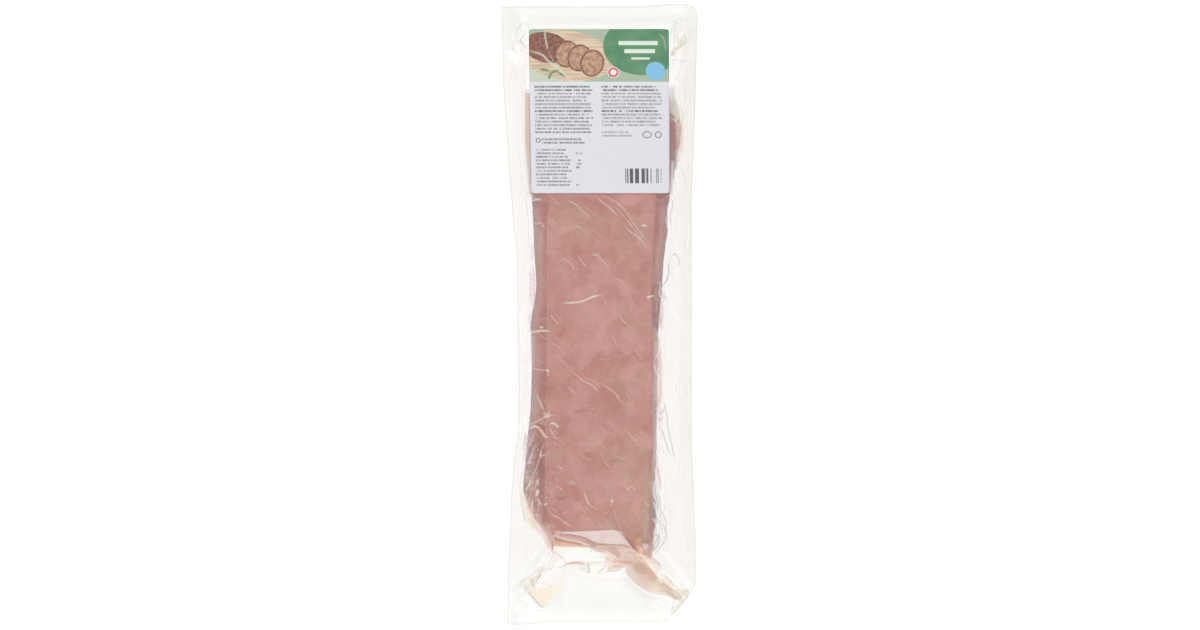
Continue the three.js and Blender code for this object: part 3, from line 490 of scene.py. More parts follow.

# Film that stands off, looks milky or is stained, tones of the bands beneath, and some painted shade and
# painted light: polygon, lift, colour, cover and softness of the rim.
PATCHES = [
    ([(-28.5, -157.5), (-19.5, -157.3), (-12, -159.3), (-6, -162), (-1, -163.4), (-1, -164.6),
      (-6, -164.2), (-12, -161.5), (-18, -160), (-24.5, -159.5)], 0, "D8A89E", 0.72, 0.5),
    # Painted highlight: the pale facet of film over the bare end, partly milky film and partly the light it
    # catches.
    ([(-27, -156), (-24.5, -154.4), (-12, -154.4), (0, -153.9), (9, -153.3), (12.5, -154), (15, -156),
      (18, -160), (21, -163.4), (25, -168), (20.5, -165), (17, -164), (8.5, -163.8), (-1.5, -163.2),
      (-5, -161.7), (-9, -159.2), (-13.5, -157.8), (-21.5, -156.3)], 0.2, "E8D0C9", 0.88, 0.6),
    ([(6, -154.4), (12.5, -155), (16, -158.6), (12, -159)], 0, "E0D6C2", 0.55, 1.4),
    ([(4, -158.5), (12, -158.5), (19, -161.5), (21, -164.6), (17, -164), (4, -163.4)],
      0, "EDD2C8", 0.6, 1),
    ([(-8, -156), (0, -155.4), (0, -160), (-5, -160.6)], 0, "E6D3D6", 0.5, 1.5),
    ([(-33.4, -161), (-26, -161.8), (-12, -164.6), (-8.5, -166), (-33.4, -166.4)],
      0, "F0CBAE", 0.78, 1.2),
    ([(-33.2, -160.6), (-28, -160.8), (-18, -163), (-12, -164.4), (-24, -163.4), (-33, -162.6)],
      0, "DDA48C", 0.5, 0.9),
    ([(-33.5, -165.4), (-8, -165.9), (-5, -166.6), (-4, -169), (5.5, -171.5), (3, -175.7), (-9, -176.9),
      (-23, -177.4), (-30, -171)], 0, "FFFFFC", 0.97, 0.7),
    ([(-33.4, -166), (-9, -166.4), (-6, -168.4), (-32, -168.6)], 0, "FCF3E4", 0.6, 0.9),
    ([(-6, -170), (4, -171.4), (4.5, -175.8), (-4, -176)], 0, "FCFBEC", 0.6, 1.5),
    ([(-1, -164), (8.5, -164.3), (17, -164.6), (21, -165.6), (25, -168.4), (31.5, -173.6), (31, -178),
      (26.5, -178), (10, -176.7), (3.4, -176.5), (5.5, -171.6), (-3, -168.6), (-4.8, -166.2)],
      0.1, "E4C3B4", 0.86, 0.6),
    ([(1, -169.8), (5, -169.3), (12, -173), (9, -176), (4, -175.6), (3, -172)], 0.1, "F6EADB", 0.68, 1),
    ([(5.4, -168), (8, -166.4), (11.4, -166), (14.6, -171), (14.6, -173.8), (10, -170.4)],
      0, "CDA293", 0.45, 0.6),
    ([(16.5, -165.8), (23, -166.4), (23.4, -169.4), (17, -169.8)], 0.1, "EBCCC4", 0.6, 0.9),
    ([(22.4, -167), (24.4, -167.4), (26.4, -168.8), (23.6, -169.2)], 0.2, "F3DCC9", 0.75, 0.5),
    ([(24, -167.6), (28, -169), (35, -177), (32, -179.6), (26, -177.4)], 0, "E8C5AE", 0.82, 0.9),
    ([(15, -176), (24, -176), (25, -178.8), (18, -178.6), (14, -177.4)], 0.1, "DDA79B", 0.7, 0.8),
    ([(6, -177.4), (15, -176.6), (18, -179), (10, -178.8)], 0.1, "EBC9B9", 0.65, 0.8),
    ([(-24, -178), (-18, -176.6), (-10.5, -177.3), (-9, -178.2), (-16.5, -179), (-22, -179.6)],
      0.2, "EBC8B6", 0.7, 0.6),
    ([(-15, -182), (-8, -176.7), (-7.7, -186), (-12, -184.5)], 0.2, "E2E0D3", 0.62, 1.4),
    ([(-7.6, -177), (4.8, -178.2), (2.5, -182), (-3.5, -186.2), (-7.4, -186)], 0.3, "F4F0E4", 0.75, 0.6),
    ([(5.5, -181), (8, -179.6), (14, -179.4), (18.5, -180.6), (12.5, -183.4), (5.5, -184)],
      0.2, "E1CDBB", 0.8, 0.8),
    ([(5, -178.8), (14, -178.2), (20, -178.8), (14, -180.4), (8, -180)], 0.1, "E6C6B8", 0.5, 0.9),
    ([(-37, -159), (-43, -163), (-64, -192), (-60, -197), (-56, -191), (-41, -170)],
      0, "F5F5F1", 0.7, 2.4),
    # Painted light: a soft white patch that lifts the shade of the film's slopes below the foot.
    ([(-22, -184), (-9, -190), (8, -187), (22, -198), (30, -206), (-25, -206), (-27, -198)],
      0, "FFFFFC", 0.36, 5),
    ([(-38, -172), (-31.5, -170.5), (-24, -177.5), (-32, -181), (-39.5, -181)], 0.3, "FDF8EC", 0.7, 1.2),
    ([(-41, -179), (-45, -181), (-50, -186.8), (-55, -190.4), (-57, -194.6), (-52.5, -198.5),
      (-46.5, -195.5), (-45, -191), (-41, -186.5), (-39, -182)], 0.3, "F5EBDC", 0.66, 1.4),
    ([(-45, -181.4), (-40, -180), (-39.6, -183.4), (-44, -184)], 0.1, "E6DBD0", 0.5, 0.9),
    ([(-50.4, -187.6), (-47, -187.6), (-46.6, -191), (-49.6, -190)], 0.1, "E2D8C8", 0.5, 0.8),
    ([(-40.6, -183), (-31, -184), (-30, -190), (-36, -194.4), (-45, -193.6), (-44, -189)],
      0.1, "FBF3EC", 0.5, 2.2),
    ([(-50, -198.6), (-46, -195.4), (-38, -195.2), (-31, -196.4), (-33, -202), (-37, -207),
      (-39.6, -209.6), (-43.5, -205.6)], 0, "F7E9C9", 0.64, 0.8),
    ([(-36, -194), (-28, -191.6), (-25.6, -195), (-28, -199.4), (-34, -202)], 0, "F6EFD8", 0.55, 2.2),
    ([(-51.4, -197.8), (-49.4, -198.2), (-49, -200.4), (-50.8, -200.4)], 0.1, "E2C8B8", 0.6, 0.5),
    ([(-54, -193.4), (-51.6, -194), (-52.6, -197.8), (-54.4, -197)], 0.1, "DFDBCA", 0.5, 0.7),
    ([(14, -180), (20, -184), (28, -194), (36, -199.5), (46, -201.6), (52, -206), (46, -206), (34, -203),
      (22, -195), (14, -186)], 0, "DEDBD6", 0.4, 2.2),
    ([(18.5, -179), (26, -176.5), (33.5, -178), (37, -181), (41, -186), (46, -191), (52, -197),
      (57.5, -203.5), (53, -203), (50, -201), (46, -199.8), (40, -199.2), (34, -198), (30, -195.5),
      (26, -192.5), (22, -188), (19.5, -184.5)], 0.4, "DCC3AE", 0.88, 1.3),
    ([(19, -180), (24, -181), (29, -188), (34, -196), (29.5, -195), (24, -190), (19, -185)],
      0, "DDCDC4", 0.6, 2.2),
    ([(27, -186), (34, -187), (35, -192), (29, -192.6)], 0, "DDBDB2", 0.6, 1.4),
    ([(35, -190), (41, -190), (47, -196.6), (40, -196)], 0, "E6D5B9", 0.6, 1.4),
    ([(34.5, -195), (42, -195.6), (43, -198.4), (36, -198.2)], 0, "F0D9CC", 0.7, 1),
    ([(34, -198), (46, -198.6), (47, -200.4), (38, -199.8)], 0, "E8E9DA", 0.6, 0.8),
    ([(24.5, -177), (33.5, -177), (36, -181), (33, -186), (27, -184), (24, -181)],
      0.3, "CDA590", 0.7, 1.2),
    ([(34, -187), (41, -187), (41.5, -190), (35.5, -190)], 0.1, "CFB298", 0.6, 0.9),
    ([(33.5, -183), (37, -183), (41, -187), (39, -188.4), (34.5, -187)], 0, "E2A898", 0.62, 0.9),
    ([(34.4, -184.4), (37, -184.6), (37, -186.8), (34.8, -186.6)], 0, "EAA798", 0.6, 0.8),
    ([(44, -187.4), (48, -190.6), (52, -194.6), (53.4, -198), (50, -196), (46, -192.4)],
      0.2, "E3C6A8", 0.75, 0.7),
    ([(33, -173), (36.4, -173.4), (40.6, -179.4), (43, -184), (40, -183), (36.2, -179)],
      0.3, "F5E2CC", 0.8, 0.7),
    ([(40, -179.4), (43.2, -180), (44, -184), (41.6, -184)], 0.1, "EFE8EA", 0.6, 0.8),
    ([(36.6, -172.6), (40, -175), (43, -178), (42, -180.4), (38.6, -178)], 0.1, "EFE4D6", 0.6, 1),
    ([(42, -184.6), (45.6, -185.4), (49.6, -189.2), (52.6, -192.8), (50, -192.4), (46, -189)],
      0.2, "EEDFC9", 0.7, 0.7),
    ([(51, -195.5), (55, -195.8), (58.5, -199.5), (57.6, -204), (54, -203.6), (52, -200)],
      0.2, "DDC8B3", 0.75, 1),
    ([(55.5, -195.6), (63, -196.6), (64, -198.6), (60.4, -203.6), (58.4, -202.4), (58, -199)],
      0, "EAE8D2", 0.75, 0.9),
    ([(57.6, -203.4), (60, -204.6), (53.6, -213.6), (52, -215.4), (52.4, -210.6), (54.4, -206)],
      0, "EFE9D0", 0.65, 0.8),
    ([(26, -158), (30, -158), (31, -163), (30, -168), (27, -168), (24.6, -164)], 0, "E0B49C", 0.62, 1.8),
    ([(26, -165), (29.4, -164.6), (31.4, -167.6), (30.4, -170), (28, -169)], 0, "E2B892", 0.75, 1),
    ([(28, -167), (33, -165), (37.4, -170), (37, -175), (33, -173.6), (29, -170)],
      0.1, "E9BFAE", 0.8, 0.9),
    ([(30.4, -163), (34.4, -162.8), (35.4, -166), (33.4, -167.6), (31.4, -165.8)],
      0.3, "EFD3D1", 0.85, 0.5),
    ([(34.8, -163), (36.6, -164.4), (38, -169.6), (36.8, -170.8), (35.4, -167)],
      0.3, "DEC4C4", 0.75, 0.5),
    ([(32.4, -96), (34.6, -104), (36, -132), (35.4, -156), (32.5, -162.5), (30, -154), (31, -130)],
      0, "D6B9A0", 0.55, 2.6),
    ([(35, -118), (39.4, -118), (39.6, -127), (38.6, -132), (36.4, -126)], 0.1, "DCC8BE", 0.55, 0.9),
    ([(37.6, -133), (39.4, -133), (39.8, -138), (38, -139)], 0.1, "E6D3D6", 0.6, 0.5),
    # Painted shade: the mauve-grey band beside the meat's right side near its end.
    ([(35.6, -138), (39.8, -138.6), (39.4, -144.4), (36, -144)], 0, "B7A4A4", 0.5, 0.9),
    ([(36, -146), (38.8, -146.4), (41, -154), (40.6, -158), (37, -160)], 0, "C99C98", 0.45, 0.8),
    ([(38.6, -161), (42, -158), (45.4, -159.6), (45.4, -163.6), (41, -167), (37.4, -169.6), (38.4, -165)],
      0.3, "EAE6D8", 0.72, 0.9),
    ([(-54.5, 160), (-49, 160), (-48.6, 120), (-48.4, 84), (-51.5, 84), (-54, 110)],
      0, "F8E9DE", 0.6, 1.5),
    ([(-56, 122), (-52, 120), (-50.6, 100), (-50.6, 86), (-54, 88)], 0, "F8F4F1", 0.62, 0.9),
    ([(49, 160), (53.4, 159.6), (56, 152), (59.4, 144), (59.6, 137), (57.6, 134.8), (56.2, 138.4),
      (54.6, 137), (53, 141.6), (51, 143.4), (49, 147)], 0, "FDF5E7", 0.8, 1.8),
    ([(49, 163), (54, 163), (54.6, 158), (52, 154), (49, 154)], 0, "F6F3EC", 0.7, 1.6),
    ([(49, 151.5), (53, 150.5), (53.4, 143), (49, 142)], 0, "CDB5A6", 0.62, 1.6),
    ([(54.2, 138), (58.8, 135.4), (59.6, 126), (57.6, 117.4), (55, 117), (54.6, 126)],
      0.1, "F0D2CA", 0.76, 0.9),
    ([(49.5, 137), (54, 136.4), (55, 122), (54, 106), (49.5, 104)], 0, "BE9092", 0.5, 1.2),
    ([(58.4, 138), (60.4, 134), (60.4, 124), (58.4, 112), (57, 113), (58.8, 126)], 0, "F1E7DC", 0.6, 0.7),
    ([(54.2, 117.6), (57, 116.4), (57.4, 111), (55.6, 105), (53.8, 109)], 0.1, "EAD8D6", 0.66, 0.8),
    ([(53, 115), (54.9, 114), (55.1, 104), (53.4, 102)], 0, "B09C9B", 0.6, 0.6),
    ([(51.6, 104), (53.3, 103), (53.1, 97), (51.4, 96)], 0, "AE9495", 0.55, 0.6),
    ([(59, 205), (71, 205), (70, 60), (70, -190), (62, -190), (57, -100), (58, 60)],
      0, "E1D7C6", 0.14, 4),
    ([(58, 200), (72, 205), (70, 60), (57, 70), (62, 140)], 0, "DFD3C0", 0.08, 4),
    ([(51.4, 110), (53.4, 109), (54, 98), (52.4, 90), (51.2, 90)], 0.1, "E3D3D4", 0.6, 0.7),
    ([(49, 97), (51.6, 96), (52.2, 86), (49, 86)], 0, "E6D6DA", 0.45, 0.8),
    ([(-40.3, -68.9), (-31.8, -71.8), (-38.9, -73.9)], 0.4, "E0BDB0", 0.8, 0.6),
    ([(-36.2, -78), (-31.8, -78.2), (-27.6, -83), (-31.4, -88.6), (-35.6, -86.6)],
      0.1, "D3A79B", 0.5, 0.6),
    ([(-44.4, -57), (-41, -62), (-38.6, -68.6), (-41.6, -67)], 0.1, "D9BDB8", 0.6, 0.8),
    ([(-50, 33), (-47.2, 31), (-45.4, 18), (-46.4, 4), (-50.6, 8)], 0.1, "F3E6E6", 0.7, 0.9),
    ([(-50.5, 31), (-48.6, 30), (-48.4, 8), (-50.4, 12)], 0.1, "DDDAD8", 0.5, 0.9),
    ([(-50, 52), (-47.4, 50), (-47, 40), (-49.6, 38)], 0, "D9CFD0", 0.5, 1.2),
    ([(-49, -14), (-46, -16), (-46, -36), (-48.6, -37)], 0, "E8D3CE", 0.5, 1.2),
    # Painted shade just below the label's lower edge, darkest next to it.
    ([(-48.6, 86.6), (-37, 86.6), (-36.6, 82.4), (-48.2, 82.4)], 0, "B99089", 0.4, 1),
    ([(-48.6, 81.6), (-37, 81.6), (-36.6, 77.6), (-48.2, 77.6)], 0, "D0A69A", 0.4, 1),
    ([(40.2, 86.6), (50, 86.6), (49.4, 82), (40, 82)], 0, "AA8080", 0.45, 1),
    ([(40.2, 81.4), (49, 81.4), (48.6, 77.4), (39.8, 77.4)], 0, "CBA19A", 0.35, 1),
    ([(-35, -156.4), (-31.4, -157), (-31.4, -162), (-35, -163)], 0, "E8C4B2", 0.6, 0.8),
    ([(-38.5, -146), (-31, -148), (-30.5, -154.6), (-36, -156)], 0, "DDAFA0", 0.45, 2.2),
    ([(32, -156), (36.4, -156), (37, -162), (33, -163)], 0, "D5B0A1", 0.45, 1.2),
    # Painted shade on the lower left side band.
    ([(-44, -88), (-40, -90), (-38.6, -106), (-38.8, -128), (-43, -128), (-46, -112)],
      0, "95696B", 0.24, 3.2),
    ([(-53.4, -100), (-50, -90), (-47.6, -106), (-49.4, -124), (-54, -120)], 0, "CDB6BA", 0.36, 2.6),
    ([(-54, -112), (-50, -111), (-48.6, -117), (-50, -122), (-54, -121)], 0, "CBB5A6", 0.5, 1.2),
    ([(-52, -116), (-47.4, -115), (-46.8, -124), (-51, -126)], 0, "DDBAB4", 0.42, 1.2),
    ([(-53.4, -88), (-50, -86), (-48, -94), (-50, -104), (-53.6, -104)], 0, "B99FA3", 0.4, 1.4),
    ([(-49.4, -134), (-40, -134), (-39.4, -146), (-43, -150), (-47.6, -144)], 0, "D0A09C", 0.5, 2),
    ([(-45, -132), (-41.6, -131), (-39, -140), (-40, -150), (-43, -150)], 0, "C8A097", 0.4, 1.4),
    ([(-33, -97), (-26, -96.6), (-24.4, -100), (-31, -104.5), (-34.4, -104)], 0, "D8B6A4", 0.34, 1),
    ([(-34.4, -105), (-30, -104.4), (-27, -110), (-33, -113)], 0, "D0A698", 0.35, 0.9),
    ([(-31.3, -123.3), (-25, -124.6), (-23.4, -129), (-30.6, -130)], 0, "D8AC9C", 0.42, 0.8),
    ([(-31, -129.6), (-23.6, -129.4), (-23.8, -131.6), (-30.6, -132.6)], 0, "A97A6E", 0.28, 0.9),
    ([(-23.6, -118.4), (-20, -117.4), (-15.4, -119.4), (-18.5, -121.6)], 0, "E0BFB2", 0.55, 0.7),
    ([(-11.6, -124), (-9, -126), (-6.4, -134), (-9.6, -136), (-12, -129)], 0, "D2AC99", 0.45, 0.8),
    ([(5.6, -131), (9, -130.4), (11, -134), (8, -136.6)], 0, "DFBBAC", 0.45, 1),
    ([(-56, -126), (-51, -128), (-45, -140), (-40, -150), (-36, -157), (-33, -166), (-36, -167),
      (-41, -158), (-49, -151), (-52, -142)], 0.1, "E2BDB0", 0.55, 1.8),
    ([(-41, -151), (-37, -150), (-32.8, -157), (-32.8, -167), (-36, -166)], 0, "EDC6B9", 0.62, 2.4),
    ([(-46, -147), (-43.4, -148), (-38, -156), (-34, -165.6), (-36.4, -166), (-41, -158)],
      0, "F6E3DE", 0.7, 1),
    ([(-57.8, -124), (-54.6, -122), (-53.8, -136), (-51, -146), (-47, -151), (-50.6, -149.4),
      (-55, -138)], 0.2, "F0EDDC", 0.55, 1),
    ([(39, 22), (44.6, 20.5), (43, 12), (38, 10.5)], 0.2, "D0ACA2", 0.45, 0.8),
    ([(43.2, 17.5), (46.6, 16.5), (48.2, 11), (44.6, 8)], 0.2, "D6D2CC", 0.5, 0.8),
    ([(42.4, 21.2), (44.4, 21), (44.8, 19.4), (42.8, 19)], 0.3, "A2968C", 0.8, 0.5),
    ([(38.6, 9), (43, 9), (44, -4), (42, -12), (38.6, -8)], 0, "B58E8A", 0.5, 1.2),
    ([(44.5, 10), (46.5, 4), (45.5, -12), (43.8, -10), (43.6, 2)], 0.1, "EBDCDD", 0.6, 0.8),
    ([(38.8, -20), (43.5, -15), (44.8, -40), (44.5, -62), (41, -68), (38.8, -60)],
      0.1, "E9CDC6", 0.72, 1),
    ([(40, -66), (44, -65.5), (45.2, -71), (41, -75)], 0.2, "F0DADC", 0.6, 0.8),
    ([(41.6, -74.5), (45.2, -73), (43.6, -77.5)], 0.1, "B9ADB0", 0.5, 0.8),
    ([(39, -98), (42, -100), (43.6, -120), (42, -134), (39.4, -126)], 0, "EADCD8", 0.4, 1.2),
    ([(-62, 189.6), (-58.2, 187.4), (-54.8, 190), (-56, 195.4), (-60, 193.6)], 0.2, "F5F2E6", 0.55, 0.8),
    ([(57, 199), (61, 199), (62.6, 195), (60.4, 192), (57.4, 191), (57.6, 195)], 0.2, "EBE2D2", 0.6, 1),
    ([(57.4, 196), (59.6, 196), (59.8, 191.6), (56.6, 190.6)], 0.2, "EAD9BC", 0.55, 0.8),
    ([(50.4, 184.6), (54, 184.8), (55, 189), (59, 191.4), (55.4, 192.6), (52.6, 190)],
      0.2, "EBD5C8", 0.6, 0.9),
]

# Families of fine creases: how many, x and y ranges, angle and spread in degrees, length range, style,
# and the share of the style's cover.
FAMILIES = [
    (26, (-36, 37), (-150, 83), (-42, 40), (2.0, 7), "wide", 0.6),
    (30, (-36, 37), (-150, 83), (-42, 25), (2.0, 8), "dark", 0.5),
    (130, (-36, 37), (-150, 83), (-42, 12), (2.5, 11), "faint", 0.8),
    (90, (-36, 37), (-150, 83), (-20, 70), (0.8, 2.8), "faint", 0.9),
    (56, (-36, 36), (-152, -88), (-46, 14), (2.0, 9), "faint", 0.85),
    (56, (-54, -40), (-150, -84), (76, 14), (2, 10), "blush", 0.75),
    (26, (-54, -44), (-150, -84), (78, 30), (2, 8), "thread", 0.35),
    (20, (-55, -44), (-150, -84), (78, 24), (3, 10), "grey", 0.5),
    (30, (-50, -38), (-80, 82), (80, 40), (1.5, 6), "faint", 0.9),
    (24, (38, 46), (-60, 84), (86, 14), (2, 9), "faint", 0.9),
    (26, (38, 45), (-168, -60), (94, 10), (4, 15), "blush", 0.8),
    (34, (38.5, 47), (-168, -100), (94, 12), (4, 15), "grey", 0.55),
    (26, (39, 46), (-168, -100), (94, 12), (4, 15), "white", 1.0),
    (30, (47, 66), (-70, 205), (90, 4), (16, 60), "haze", 0.42),
    (14, (46, 66), (-70, 205), (90, 6), (10, 40), "white", 0.6),
    (26, (-66, -50), (-70, 205), (88, 4), (14, 50), "haze", 0.42),
    (14, (-64, -50), (-70, 190), (90, 6), (10, 40), "white", 0.6),
    (16, (46, 66), (-190, -70), (90, 7), (10, 36), "haze", 0.35),
    (12, (-62, -52), (84, 180), (86, 12), (5, 16), "grey", 0.35),
    (14, (53, 64), (84, 180), (94, 12), (5, 16), "grey", 0.35),
    (10, (46, 58), (-80, 60), (92, 12), (5, 16), "grey", 0.4),
    (14, (50, 62), (84, 180), (96, 22), (2, 8), "faint", 0.5),
]
SEED = 5

# Soft lamps round the stage: name, place in X and Y as parts of the lamp distance, and share of power.
LAMPS = [
    ("lamp_head", 0, 1, 0.8),
    ("lamp_foot", 0, -1, 1.0),
    ("lamp_left", -1, 0, 0.5),
    ("lamp_right", 1, 0, 0.3),
]

# Stage in metres: half the floor's side and its level, the camera's place beside the origin, its sensor
# width, and the height at which the frame is as wide as the view width.
FLOOR_REACH, FLOOR_LEVEL = 6.0, -0.0003
CAMERA_X, CAMERA_Y, SENSOR_WIDTH, AIM_HEIGHT = 0.0004, -0.0004, 0.036, 0.035


def along(stations, y):
    """Value at each y of a line given by (y, value) stations, eased from one station to the next."""
    table = np.array(stations, float)
    i = np.clip(np.searchsorted(table[:, 0], y, side="right") - 1, 0, len(table) - 2)
    t = np.clip((y - table[i, 0]) / (table[i + 1, 0] - table[i, 0]), 0, 1)
    eased = 0.5 * t + 0.5 * t * t * (3 - 2 * t)
    return table[i, 1] + (table[i + 1, 1] - table[i, 1]) * eased


def smoothstep(value, start, end):
    """From 0 at start to 1 at end along the curve 3t^2 - 2t^3."""
    t = np.clip((value - start) / (end - start), 0, 1)
    return t * t * (3 - 2 * t)


def corner_inset(distance, radius):
    """How far a round corner of that radius pulls an edge in, at a distance from the sheet's end."""
    short = np.maximum(0, radius - distance)
    return radius - np.sqrt(np.maximum(0, radius * radius - short * short))


def film_left(y):
    """The film's left edge: its stations, pulled in by two round corners."""
    corners = corner_inset(y - FILM_BOTTOM, CORNER_BOTTOM_LEFT) + corner_inset(FILM_TOP - y, CORNER_TOP_LEFT)
    return along(FILM_LEFT, y) + EDGE_TRIM + corners


def film_right(y):
    """The film's right edge: its stations, less the cut lower corner and the round upper one."""
    share = np.clip((CUT_START - y) / (CUT_START - FILM_BOTTOM), 0, 1)
    cut = CUT_WIDTH * (share - (1 - CUT_ROUNDING) * share * (1 - share))
    return along(FILM_RIGHT, y) - EDGE_TRIM - cut - corner_inset(FILM_TOP - y, CORNER_TOP_RIGHT)


def bowed(x, y):
    """Y of a grid point once the film's end edges are bowed: rows near an end shift along with x."""
    top = BOW_TOP_RIGHT * smoothstep(x, 25, 58) * smoothstep(y, FILM_TOP - BOW_REACH, FILM_TOP)
    near = 1 - smoothstep(y, FILM_BOTTOM, FILM_BOTTOM + BOW_REACH)
    return y + top - BOW_BOTTOM_LEFT * smoothstep(-x, 30, 62) * near


def margin_height(x, y):
    """The sealed margin's height: the seal height less a squared droop outwards, plus one long wave."""
    size = bpy.context.scene.pork_sizes
    out = np.clip((np.abs(x) - MARGIN_START) / MARGIN_WIDTH, 0, 1)
    past = np.clip((np.abs(y) - END_START) / END_WIDTH, 0, 1)
    turn = 2 * np.pi * y / WAVE_LENGTH + WAVE_PHASE * np.sign(x)
    droop = SIDE_DROOP * out * out + END_DROOP * past * past
    return size.seal_height / MM - droop + WAVE_HEIGHT * np.sin(turn) * out * (1 - 0.5 * past)


def ridges(table, x, y):
    """Sum of bells exp(-d^2) across straight lines, d being the distance in half widths."""
    height = np.zeros(np.shape(x))
    for start, end, heights, widths in table:
        dx, dy = end[0] - start[0], end[1] - start[1]
        t = np.clip(((x - start[0]) * dx + (y - start[1]) * dy) / (dx * dx + dy * dy), 0, 1)
        away = np.hypot(x - start[0] - t * dx, y - start[1] - t * dy)
        away = away / (widths[0] + (widths[1] - widths[0]) * t)
        height += (heights[0] + (heights[1] - heights[0]) * t) * np.exp(-away * away)
    return height


def bevel(t):
    """From 0 at the side line to 1 at the flat top: t(1 + c(1 - t)), so the upper edge stays crisp."""
    s = np.clip(t, 0, 1)
    return s * (1 + BAND_CONVEXITY * (1 - s))


def top_share(x, y):
    """Share of the full height reached at a point: the bevels across and at the end, and the ramp."""
    left, right = along(MEAT_LEFT, y), along(MEAT_RIGHT, y)
    from_left = (x - left) / (along(FLAT_LEFT, y) - left)
    from_right = (right - x) / (right - along(FLAT_RIGHT, y))
    foot = END_FOOT + END_FOOT_RISE * (x / 40) ** 4
    edge = END_EDGE - END_EDGE_DROP * smoothstep(x, END_DROP_FROM, END_DROP_TO)
    bare_end = bevel((y - foot) / np.maximum(edge - foot, 6))
    return bevel(np.minimum(from_left, from_right)) * bare_end * (1 - smoothstep(y, RAMP_START, RAMP_END))


def body_height(x, y):
    """Height of the meat's film above the sealed margin, without folds."""
    flat = bpy.context.scene.pork_sizes.meat_top / MM - TOP_ROLL_OFF * (x / 50) ** 4
    return (flat - margin_height(x, y)) * top_share(x, y)


def pack_top(x, y):
    """The film's upper surface: margin, plus the cube mean of body and gathers, plus the side folds."""
    folds = np.where(y < LABEL_BOTTOM - 6, ridges(SIDE_FOLDS, x, y), 0)
    return margin_height(x, y) + np.cbrt(body_height(x, y) ** 3 + ridges(GATHERS, x, y) ** 3) + folds


def quarter_round(t):
    """A quarter circle from 0 at the edge to 1 on the flat."""
    s = 1 - np.clip(t, 0, 1)
    return np.sqrt(1 - s * s)


def lower_depth(x, y):
    """Share of the way down from the margin to the table: quarter rounds from the sides and the ends."""
    across = np.minimum(x - along(MEAT_LEFT, y), along(MEAT_RIGHT, y) - x) / LOWER_EDGE
    lengthwise = np.minimum(y - LOWER_BARE, LOWER_LABEL - y) / LOWER_END_EDGE
    return quarter_round(across) * quarter_round(lengthwise)


def rows_of(plan):
    """All row values of a grid from (value, steps to the next value) pairs."""
    parts = [np.linspace(a, b, n, endpoint=False) for (a, n), (b, _) in zip(plan, plan[1:])]
    return np.concatenate(parts + [[plan[-1][0]]])


def columns_of(guides, steps):
    """X of every grid point: rows of guide values with even steps between neighbouring guides."""
    parts = []
    for left, right, count in zip(guides, guides[1:], steps):
        t = np.arange(count) / count
        parts.append(left[:, None] + (right - left)[:, None] * t)
    return np.concatenate(parts + [guides[-1][:, None]], axis=1)


def smooth_path(points, step=1.2):
    """A Catmull-Rom curve through the points, sampled about every step."""
    p = np.array(points, float)
    ends = np.vstack([2 * p[0] - p[1], p, 2 * p[-1] - p[-2]])
    out = []
    for a, b, c, d in zip(ends, ends[1:], ends[2:], ends[3:]):
        count = max(2, int(np.ceil(np.hypot(*(c - b)) / step)))
        t = (np.arange(count) / count)[:, None]
        curve = 2 * b + (c - a) * t + (2 * a - 5 * b + 4 * c - d) * t**2 + (3 * b - a - 3 * c + d) * t**3
        out.append(curve / 2)
    return np.vstack(out + [p[-1:]])


def linear(hex_colour):
    """A linear RGB triple from an sRGB hex colour."""
    c = np.array([int(hex_colour[i:i + 2], 16) / 255 for i in (0, 2, 4)])
    return tuple(np.where(c <= 0.04045, c / 12.92, ((c + 0.055) / 1.055) ** 2.4).tolist())


